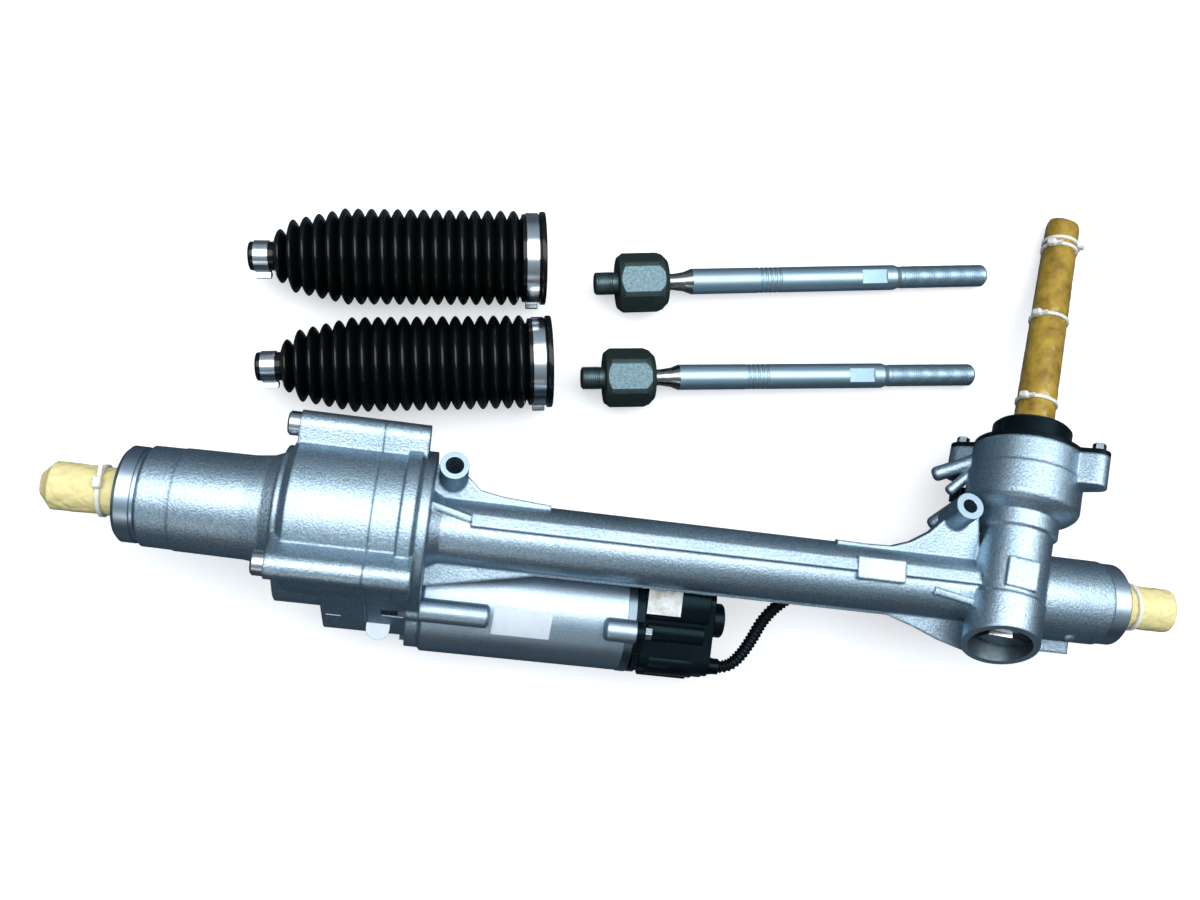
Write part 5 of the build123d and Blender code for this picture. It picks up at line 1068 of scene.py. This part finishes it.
@dataclass(frozen=True)
class Clamp:
    """A band round one end of a boot, with its crimped ear; angles are in degrees."""

    name: str
    radius: float
    station: float
    width: float
    ear_angle: float
    ear_height: float
    ear_half_width: float = 3.2
    foot_share: float = 0.45
    waist_share: float = 0.75
    crown_share: float = 0.6
    foot_lift: float = 0.3
    crown_drop: float = 0.6
    thickness: float = 0.9
    steps: int = 56

    def shape(self) -> Shape:
        """Bend it round Z.

        Returns:
            The points and the faces.
        """
        half = math.degrees(self.ear_half_width / self.radius)
        foot, waist = half * self.foot_share, half * self.waist_share
        crown, top = foot * self.crown_share, self.radius + self.ear_height
        low, middle, high = self.radius + self.foot_lift, self.radius + self.ear_height / 2, top - self.crown_drop
        ear = ((low, foot + 360), (middle, foot), (high, waist), (top, crown), (top, -crown), (high, -waist),
               (middle, -foot), (low, -foot))
        path = arc(self.radius, self.ear_angle - half, self.ear_angle - 360 + half, self.steps)
        path += [polar(reach, self.ear_angle + turn) for reach, turn in ear]
        return band_shape(path[::-1], self.thickness, self.width)


CLAMPS = (Clamp("large_clamp", radius=31.2, station=196.5, width=9.0, ear_angle=196.0, ear_height=4.2),
          Clamp("small_clamp", radius=10.0, station=8.7, width=10.4, ear_angle=205.0, ear_height=5.0))


@dataclass
class Boot:
    """One folded boot with its two bands."""

    bench: Bench
    side: Side
    place: Pair
    yaw: float
    length: float = 206.0
    wide: float = 33.5
    fold_depth: float = 6.4
    collar: float = 17.0
    neck: float = 10.0
    big_collar: float = 31.2
    big_collar_length: float = 18.0
    folds: int = 19
    fold_steps: int = 14
    first_crests: tuple[float, ...] = (0.56, 0.76, 0.82, 0.88, 0.94)
    crest_roundness: float = 1.8
    wall: float = 1.6
    neck_lip: tuple[Pair, ...] = ((-1.2, 0.0), (-0.3, 0.4), (0.0, 1.4))
    neck_end: float = 14.0
    shoulder: float = 1.6
    mouth_lip: tuple[Pair, ...] = ((0.0, -4.2), (1.5, -3.8), (1.8, -3.2), (1.8, -0.5), (1.3, 0.0))
    inner_shoulder: float = 2.5
    sides: int = 84

    def profile(self) -> list[Pair]:
        """The boot's closed section from its narrow end to its wide one, then back inside.

        Returns:
            Radius and height of each point.
        """
        pitch = (self.length - self.collar - self.big_collar_length) / self.folds
        outer = [(self.neck + out, along) for out, along in self.neck_lip] + [(self.neck, self.neck_end)]
        before = self.neck
        for index in range(self.folds):
            crest = self.wide * (self.first_crests[index] if index < len(self.first_crests) else 1.0)
            after = crest - self.fold_depth
            for step in range(self.fold_steps):
                part = step / self.fold_steps
                root = before + (after - before) * part
                wave = 1 - abs(2 * part - 1) ** self.crest_roundness
                outer.append((root + (crest - root) * wave, self.collar + pitch * (index + part)))
            before = after
        collar = self.length - self.big_collar_length
        outer += [(before, collar), (before + self.shoulder, collar + self.shoulder / 2),
                  (self.big_collar, collar + self.shoulder)]
        outer += [(self.big_collar + out, self.length + along) for out, along in self.mouth_lip]
        bore, wide_bore = self.neck - self.wall, self.big_collar - self.wall
        inner = [(max(radius - self.wall, bore), height)
                 for radius, height in outer[len(self.neck_lip):-len(self.mouth_lip) - 1]]
        inner += [(wide_bore, collar + self.inner_shoulder), (wide_bore, self.length)]
        return outer + inner[::-1] + [(bore, 0.0)]

    def build(self) -> None:
        """Make the boot and its bands."""
        side = self.side.value
        matrix = self.bench.lying(self.place, self.wide, self.yaw)
        boot = make_mesh("boot", *turned_shape(self.profile(), self.sides, True), matrix)
        add_piece(f"{side}_boot", boot, BOOT_RUBBER, Body.HOUSING, [f"{side}_bellows"], sharp=70.0)
        for clamp in CLAMPS:
            band = make_mesh(clamp.name, *clamp.shape(), matrix @ Matrix.Translation((0, 0, clamp.station)))
            add_piece(f"{side}_{clamp.name}", band, BAND_STEEL, Body.HOUSING,
                      [f"{side}_bellows_{clamp.name}"])


@dataclass
class TieRod:
    """The threads and bare zones of one inner tie rod."""

    bench: Bench
    side: Side
    body: Body
    place: Pair
    yaw: float
    flats: float = 39.6
    stud_length: float = 17.0
    stud_start: float = -16.0
    ball_centre: float = 21.0
    neck_end: float = 55.5
    thread_start: float = 220.0
    rod_end: float = 291.0
    thread_lead: float = 1.5
    thread_ends: float = 4.0
    thread_radius: float = 8.0
    thread_depth: float = 0.5
    pitch: float = 1.5
    flat_inset: float = 22.0
    flat_length: float = 20.0
    flat_reach: float = 8.2
    flat_facing: float = 0.995
    socket_facing: float = 0.97

    def rod_matrix(self) -> Matrix:
        """The rod's frame at its ball, tipped down until the thread rests.

        Returns:
            The matrix, with the change of unit in it.
        """
        turn = math.radians(self.yaw)
        dip = math.asin((self.flats / 2 - self.thread_radius) / (self.rod_end - self.ball_centre))
        ball = (self.place[0] + self.ball_centre * math.cos(turn), self.place[1] + self.ball_centre * math.sin(turn))
        return self.bench.lying(ball, self.flats / 2, self.yaw, dip)

    def build(self, threads: Recipe) -> None:
        """Make both threads, the stud's in a paler painted highlight, and paint the bare neck, the wrench flats in a
        darker painted shade and the socket's upward flats in a paler painted highlight.

        Args:
            threads: The recipe for a screw thread.
        """
        rod = self.rod_matrix()
        socket = self.bench.lying(self.place, self.flats / 2, self.yaw)
        thread_start = self.thread_start - self.ball_centre + self.thread_lead
        # The stud thread takes the paler phosphated colour: painted highlight on its ridges.
        for name, finish, slot, body, matrix, start, length in (
                ("rod_thread", ROD_COAT, "rod_steel", self.body, rod, thread_start, self.rod_end - self.thread_start),
                ("stud_thread", PHOSPHATED_PAINTED_HIGHLIGHT, "socket_steel", Body.HOUSING, socket, self.stud_start,
                 self.stud_length)):
            mesh = threads.run(name, finish, matrix @ Matrix.Translation((0, 0, start)), Pitch=self.pitch,
                               Length=length - self.thread_ends, Radius=self.thread_radius, Depth=self.thread_depth)
            add_piece(f"{self.side.value}_{name}", mesh, finish, body, sharp=60.0)
        to_rod = rod.inverted()
        flat_station = self.thread_start - self.ball_centre - self.flat_inset

        def is_wrench_flat(middle: Vector, normal: Vector) -> bool:
            """Whether a face is one of the two wrench flats."""
            local = to_rod @ (middle * MM + self.bench.offset)
            facing = abs((to_rod.to_3x3() @ normal).normalized().y) > self.flat_facing
            return abs(local.z - flat_station) < self.flat_length / 2 and facing and abs(local.y) < self.flat_reach

        def is_neck(middle: Vector, normal: Vector) -> bool:
            """Whether a face is on the bare neck next to the ball."""
            return (to_rod @ (middle * MM + self.bench.offset)).z < self.neck_end - self.ball_centre

        solid = f"{self.side.value}_tie_rod"
        # The socket's upward flats get the paler colour: painted highlight from the light above.
        self.bench.paint(f"{solid}_socket", PHOSPHATED_PAINTED_HIGHLIGHT, lambda middle, normal: normal.z > self.socket_facing)
        # The wrench flats get a darker colour: painted shade that tones down the light from above.
        self.bench.paint(solid, ROD_FLAT_PAINTED_SHADE, is_wrench_flat)
        self.bench.paint(solid, BARE_STEEL, is_neck)


@dataclass
class Tie:
    """A cable tie: its band, its head and the cut tail."""

    radius: float
    station: float
    angle: float
    width: float = 2.8
    thickness: float = 1.1
    head: Triple = (5.6, 6.4, 5.0)
    tail: float = 5.0
    tilt: float = 0.0
    steps: int = 48
    head_sink: float = 0.6
    head_chamfer: float = 0.9
    tail_lift: float = 1.4
    tail_overlap: float = 0.5
    tail_width_share: float = 0.85
    tail_chamfer: float = 0.25

    def shape(self) -> Shape:
        """Bend it round Z.

        Returns:
            The points and the faces.
        """
        path = arc(self.radius, 0, 360 - 360 / self.steps, self.steps - 1)
        band = band_shape(path, self.thickness, self.width)
        head = block_shape((self.radius + self.head[0] / 2 - self.head_sink, 0, 0), self.head, self.head_chamfer)
        middle = (self.radius + self.tail_lift, self.head[1] / 2 + self.tail / 2 - self.tail_overlap, 0)
        size = (self.thickness, self.tail, self.width * self.tail_width_share)
        points, faces = joined_shapes([band, head, block_shape(middle, size, self.tail_chamfer)])
        turn = Matrix.Rotation(math.radians(self.angle), 4, "Z") @ Matrix.Rotation(self.tilt, 4, "X")
        return [tuple(turn @ Vector(point) + Vector((0, 0, self.station))) for point in points], faces


@dataclass
class Wrap:
    """A shaft end wrapped in paper or film, folded over at its tip."""

    name: str
    finish: Finish
    slot: str
    body: Body
    node: str
    matrix: Matrix
    start: float
    end: float
    first: float
    last: float
    tip: WrapTip
    crinkle: float
    ties: tuple[Tie, ...]
    seed: float
    sides: int = 96
    rings: int = 70
    tie_reach: float = 5.0
    squeeze: float = 0.55
    folds_round: float = 2.2
    fold_length: float = 9.0
    fine_fold_scale: float = 2.3
    fine_fold_share: float = 0.5
    pleats: int = 11
    pleat_sway: float = 2.0
    pleat_sway_length: float = 14.0
    pleat_share: float = 0.35

    def tip_shares(self, height: float) -> Pair:
        """Half width and half height against those of the body, which shrink along the folded tip.

        Args:
            height: The station along the shaft.

        Returns:
            The two shares.
        """
        length, width_loss, width_power, height_loss, height_power = self.tip.value
        part = max(0.0, (height - self.end + length) / length)
        return 1 - width_loss * part ** width_power, 1 - height_loss * part ** height_power

    def depth(self, turn: float, height: float, tightness: float) -> float:
        """How deep the creases are at a point.

        Args:
            turn: The point's angle.
            height: Its station along the shaft.
            tightness: How near a tie is, from 0 to 1.

        Returns:
            The depth.
        """
        spot = Vector((math.cos(turn) * self.folds_round, math.sin(turn) * self.folds_round,
                       height / self.fold_length + self.seed))
        fold = abs(noise.noise(spot)) + self.fine_fold_share * abs(noise.noise(spot * self.fine_fold_scale))
        sway = self.pleat_sway * math.sin(height / self.pleat_sway_length + self.seed)
        pleat = 0.5 + 0.5 * math.sin(turn * self.pleats + sway)
        return self.crinkle * (fold + self.pleat_share * pleat * tightness)

    def build(self) -> None:
        """Make the wrap as one closed skin."""
        points: list[Triple] = []
        for ring in range(self.rings + 1):
            height = self.start + (self.end - self.start) * ring / self.rings
            share = (height - self.start) / (self.end - self.start)
            wide, high = self.tip_shares(height)
            nearest = min(abs(height - tie.station) for tie in self.ties)
            tightness = max(0.0, 1 - nearest / self.tie_reach)
            radius = self.first + (self.last - self.first) * share - self.squeeze * tightness
            for step in range(self.sides):
                turn = FULL_TURN * step / self.sides
                reach = radius - self.depth(turn, height, tightness)
                points.append((reach * math.cos(turn) * high, reach * math.sin(turn) * wide, height))
        faces = ring_faces(self.rings + 1, self.sides)
        for ring in (0, self.rings):
            rim = [ring * self.sides + step for step in range(self.sides)]
            centre = sum((Vector(points[index]) for index in rim), Vector()) / self.sides
            faces += [[here, after, len(points)] for here, after in zip(rim, rim[1:] + rim[:1])]
            points.append(tuple(centre))
        mesh = make_mesh(self.name, points, faces, self.matrix)
        add_piece(self.name, mesh, self.finish, self.body, [self.node], sharp=50.0)


@dataclass
class Wraps:
    """The three wrapped shaft ends with their ties."""

    bench: Bench

    def build(self) -> None:
        """Make the film on the input shaft, the paper on the rack ends, and all the ties."""
        tower = self.bench.tower()
        left = self.bench.matrix((0, 0, RACK_HEIGHT), Vector((0, 0, 1)), Vector((-1, 0, 0)))
        right = self.bench.along_x((0, 0, RACK_HEIGHT))
        film_ties = tuple(Tie(radius, station, angle) for radius, station, angle in
                          ((14.0, 143.0, 300.0), (13.3, 212.5, 300.0), (12.5, 274.5, 310.0), (12.4, 280.5, 60.0)))
        left_tie, right_tie = (
            Tie(15.7, station, angle, width=3.2, thickness=1.4, head=(6.0, 7.5, 5.6), tail=9.0, tilt=tilt)
            for station, angle, tilt in ((356.0, 20.0, 0.05), (358.0, 200.0, -0.05)))
        Wrap("input_shaft_film", AMBER_FILM, "amber_film", Body.INPUT_SHAFT, "shaft_wrap", tower, start=123.1,
             end=300.4, first=14.3, last=12.4, tip=WrapTip.SQUARE, crinkle=0.5, ties=film_ties, seed=3.0).build()
        for side, matrix, start, end, tip, tie, seed in (
                (Side.LEFT, left, 339.6, 394.8, WrapTip.WEDGE, left_tie, 7.0),
                (Side.RIGHT, right, 343.1, 391.2, WrapTip.BLUNT, right_tie, 12.0)):
            Wrap(f"{side.value}_rack_paper", WAXED_PAPER, "rack_paper", Body.RACK, f"rack_wrap_{side.value}", matrix,
                 start, end, first=15.9, last=15.9, tip=tip, crinkle=0.9, ties=(tie,), seed=seed).build()
        film = make_mesh("shaft_tie_bands", *joined_shapes(tie.shape() for tie in film_ties), tower)
        add_piece("input_shaft_ties", film, TIE_NYLON, Body.INPUT_SHAFT, ["shaft_ties"])
        both = make_mesh("rack_tie_left", *left_tie.shape(), left)
        work = bmesh.new()
        work.from_mesh(both)
        work.from_mesh(make_mesh("rack_tie_right", *right_tie.shape(), right))
        work.to_mesh(both)
        work.free()
        add_piece("rack_end_ties", both, TIE_NYLON, Body.RACK, ["rack_wrap_ties"])


@dataclass
class Studio:
    """The camera, the lamps, the world and the floor."""

    bench: Bench
    camera_place: Triple = (-122.786, 65.700, 791.794)
    camera_axes: tuple[Triple, Triple, Triple] = (
        (0.985596, 0.123483, 0.115557), (-0.122643, 0.992347, -0.014379), (-0.116448, 0.0, 0.993197))
    lens: float = 31.5
    sensor_width: float = 36.0
    nearest: float = 0.01
    sky_lean: Triple = (0.0, 0.42, 0.908)
    sky_level: Pair = (0.06, 0.68)
    floor_half: float = 8.0
    glow_reach: Pair = (0.8, 2.0)
    glow_level: Pair = (0.5, 1.0)
    lamps: tuple[tuple[str, Triple, Triple, Pair, float], ...] = (
        ("overhead_softbox", (0.1, 0.45, 1.55), (0.1, 0, 0), (3.0, 1.3), 46.0),
        ("front_softbox", (-0.4, -1.3, 1.0), (0, 0, 0), (1.2, 0.3), 2.0))

    def camera(self) -> None:
        """Set the camera where the photograph was taken from."""
        data = bpy.data.cameras.new("bench_camera")
        data.lens, data.sensor_width, data.clip_start = self.lens, self.sensor_width, self.nearest
        turn = Matrix(self.camera_axes).transposed().to_4x4()
        place = Matrix.Translation(self.bench.point(self.camera_place))
        bpy.context.scene.camera = link_object("bench_camera", data, place @ turn)

    def lamp(self, name: str, place: Triple, aim: Triple, size: Pair, power: float) -> None:
        """Add one soft lamp.

        Args:
            name: The lamp's name.
            place: Where it hangs, in metres.
            aim: What it points at, in metres.
            size: Its two sides in metres.
            power: Its power in watts.
        """
        data = bpy.data.lights.new(name, "AREA")
        data.shape = "RECTANGLE"
        data.size, data.size_y = size
        data.energy = power
        turn = (Vector(aim) - Vector(place)).to_track_quat("-Z", "Y").to_matrix().to_4x4()
        link_object(name, data, Matrix.Translation(place) @ turn)

    def world(self) -> None:
        """A pale blue room, lighter above and behind than in front, and white where the camera sees it."""
        world = bpy.data.worlds.new("pale_room")
        tree = empty_tree(world)
        place = add(tree, "ShaderNodeTexCoord").outputs["Generated"]
        height = add(tree, "ShaderNodeVectorMath", {0: place, 1: self.sky_lean}, operation="DOT_PRODUCT")
        level = remap(tree, height.outputs["Value"], (0.0, 0.9), self.sky_level)
        room = add(tree, "ShaderNodeBackground", {"Color": linear_colour("#C9DEEE"), "Strength": level})
        white = add(tree, "ShaderNodeBackground", {"Color": WHITE, "Strength": 1.0})
        seen = add(tree, "ShaderNodeLightPath").outputs["Is Camera Ray"]
        mixed = add(tree, "ShaderNodeMixShader", {0: seen, 1: room.outputs[0], 2: white.outputs[0]})
        add(tree, "ShaderNodeOutputWorld", {"Surface": mixed.outputs[0]})
        bpy.context.scene.world = world

    def laminate(self) -> bpy.types.Material:
        """The table's surface: white with the shadow where it is seen, and dim where it is only mirrored.

        Returns:
            The material.
        """
        material = bpy.data.materials.new("white_table_laminate")
        tree = empty_tree(material)
        matt, dim = (add(tree, "ShaderNodeBsdfDiffuse", {"Color": linear_colour(code)})
                     for code in ("#D0D2D4", "#4A535C"))
        place = add(tree, "ShaderNodeTexCoord").outputs["Object"]
        reach = add(tree, "ShaderNodeVectorMath", {0: place}, operation="LENGTH").outputs["Value"]
        level = remap(tree, reach, self.glow_reach, self.glow_level)
        glow = add(tree, "ShaderNodeEmission", {"Color": WHITE, "Strength": level})
        rays = add(tree, "ShaderNodeLightPath").outputs
        seen = add(tree, "ShaderNodeMath", {0: rays["Is Camera Ray"], 1: rays["Is Transmission Ray"]},
                   operation="MAXIMUM")
        lit = add(tree, "ShaderNodeAddShader", {0: matt.outputs[0], 1: glow.outputs[0]})
        mixed = add(tree, "ShaderNodeMixShader", {0: seen.outputs[0], 1: dim.outputs[0], 2: lit.outputs[0]})
        add(tree, "ShaderNodeOutputMaterial", {"Surface": mixed.outputs[0]})
        return material

    def floor(self) -> None:
        """A white table top that keeps the object's shadow and fades into the white behind it."""
        half = self.floor_half
        mesh = bpy.data.meshes.new("table_top")
        mesh.from_pydata([(-half, -half, 0), (half, -half, 0), (half, half, 0), (-half, half, 0)], [], [(0, 1, 2, 3)])
        mesh.materials.append(self.laminate())
        link_object("table_top", mesh)

    def build(self) -> None:
        """Set up the whole studio."""
        self.camera()
        self.world()
        self.floor()
        for lamp in self.lamps:
            self.lamp(*lamp)
        bpy.context.scene.view_settings.view_transform = "Standard"


def dress_solids(frame: dict) -> None:
    """Give every solid its own finish.
    """
    for name, solid in frame["nodes"].items():
        solid.data.materials.clear()
        solid.data.materials.append(NODE_FINISHES[name].build())
        log.info("%s: %s", name, NODE_FINISHES[name].name)


def main() -> None:
    """Load the frame, dress it and add the pieces."""
    logging.basicConfig(level=logging.INFO, format="%(name)s: %(message)s")
    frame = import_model()
    bench = Bench(frame)
    Studio(bench).build()
    dress_solids(frame)
    SensorLoom(bench).build()
    Castings(bench).dress()
    MotorDetails(bench).build()
    Boot(bench, Side.LEFT, (-295.0, 170.0), 7.7).build()
    Boot(bench, Side.RIGHT, (-281.0, 94.0), 8.6).build()
    threads = thread_recipe()
    TieRod(bench, Side.LEFT, Body.LEFT_TIE_ROD, (-35.0, 189.7), 9.6).build(threads)
    TieRod(bench, Side.RIGHT, Body.RIGHT_TIE_ROD, (-36.0, 119.0), 8.1).build(threads)
    Wraps(bench).build()


if __name__ == "__main__":
    main()
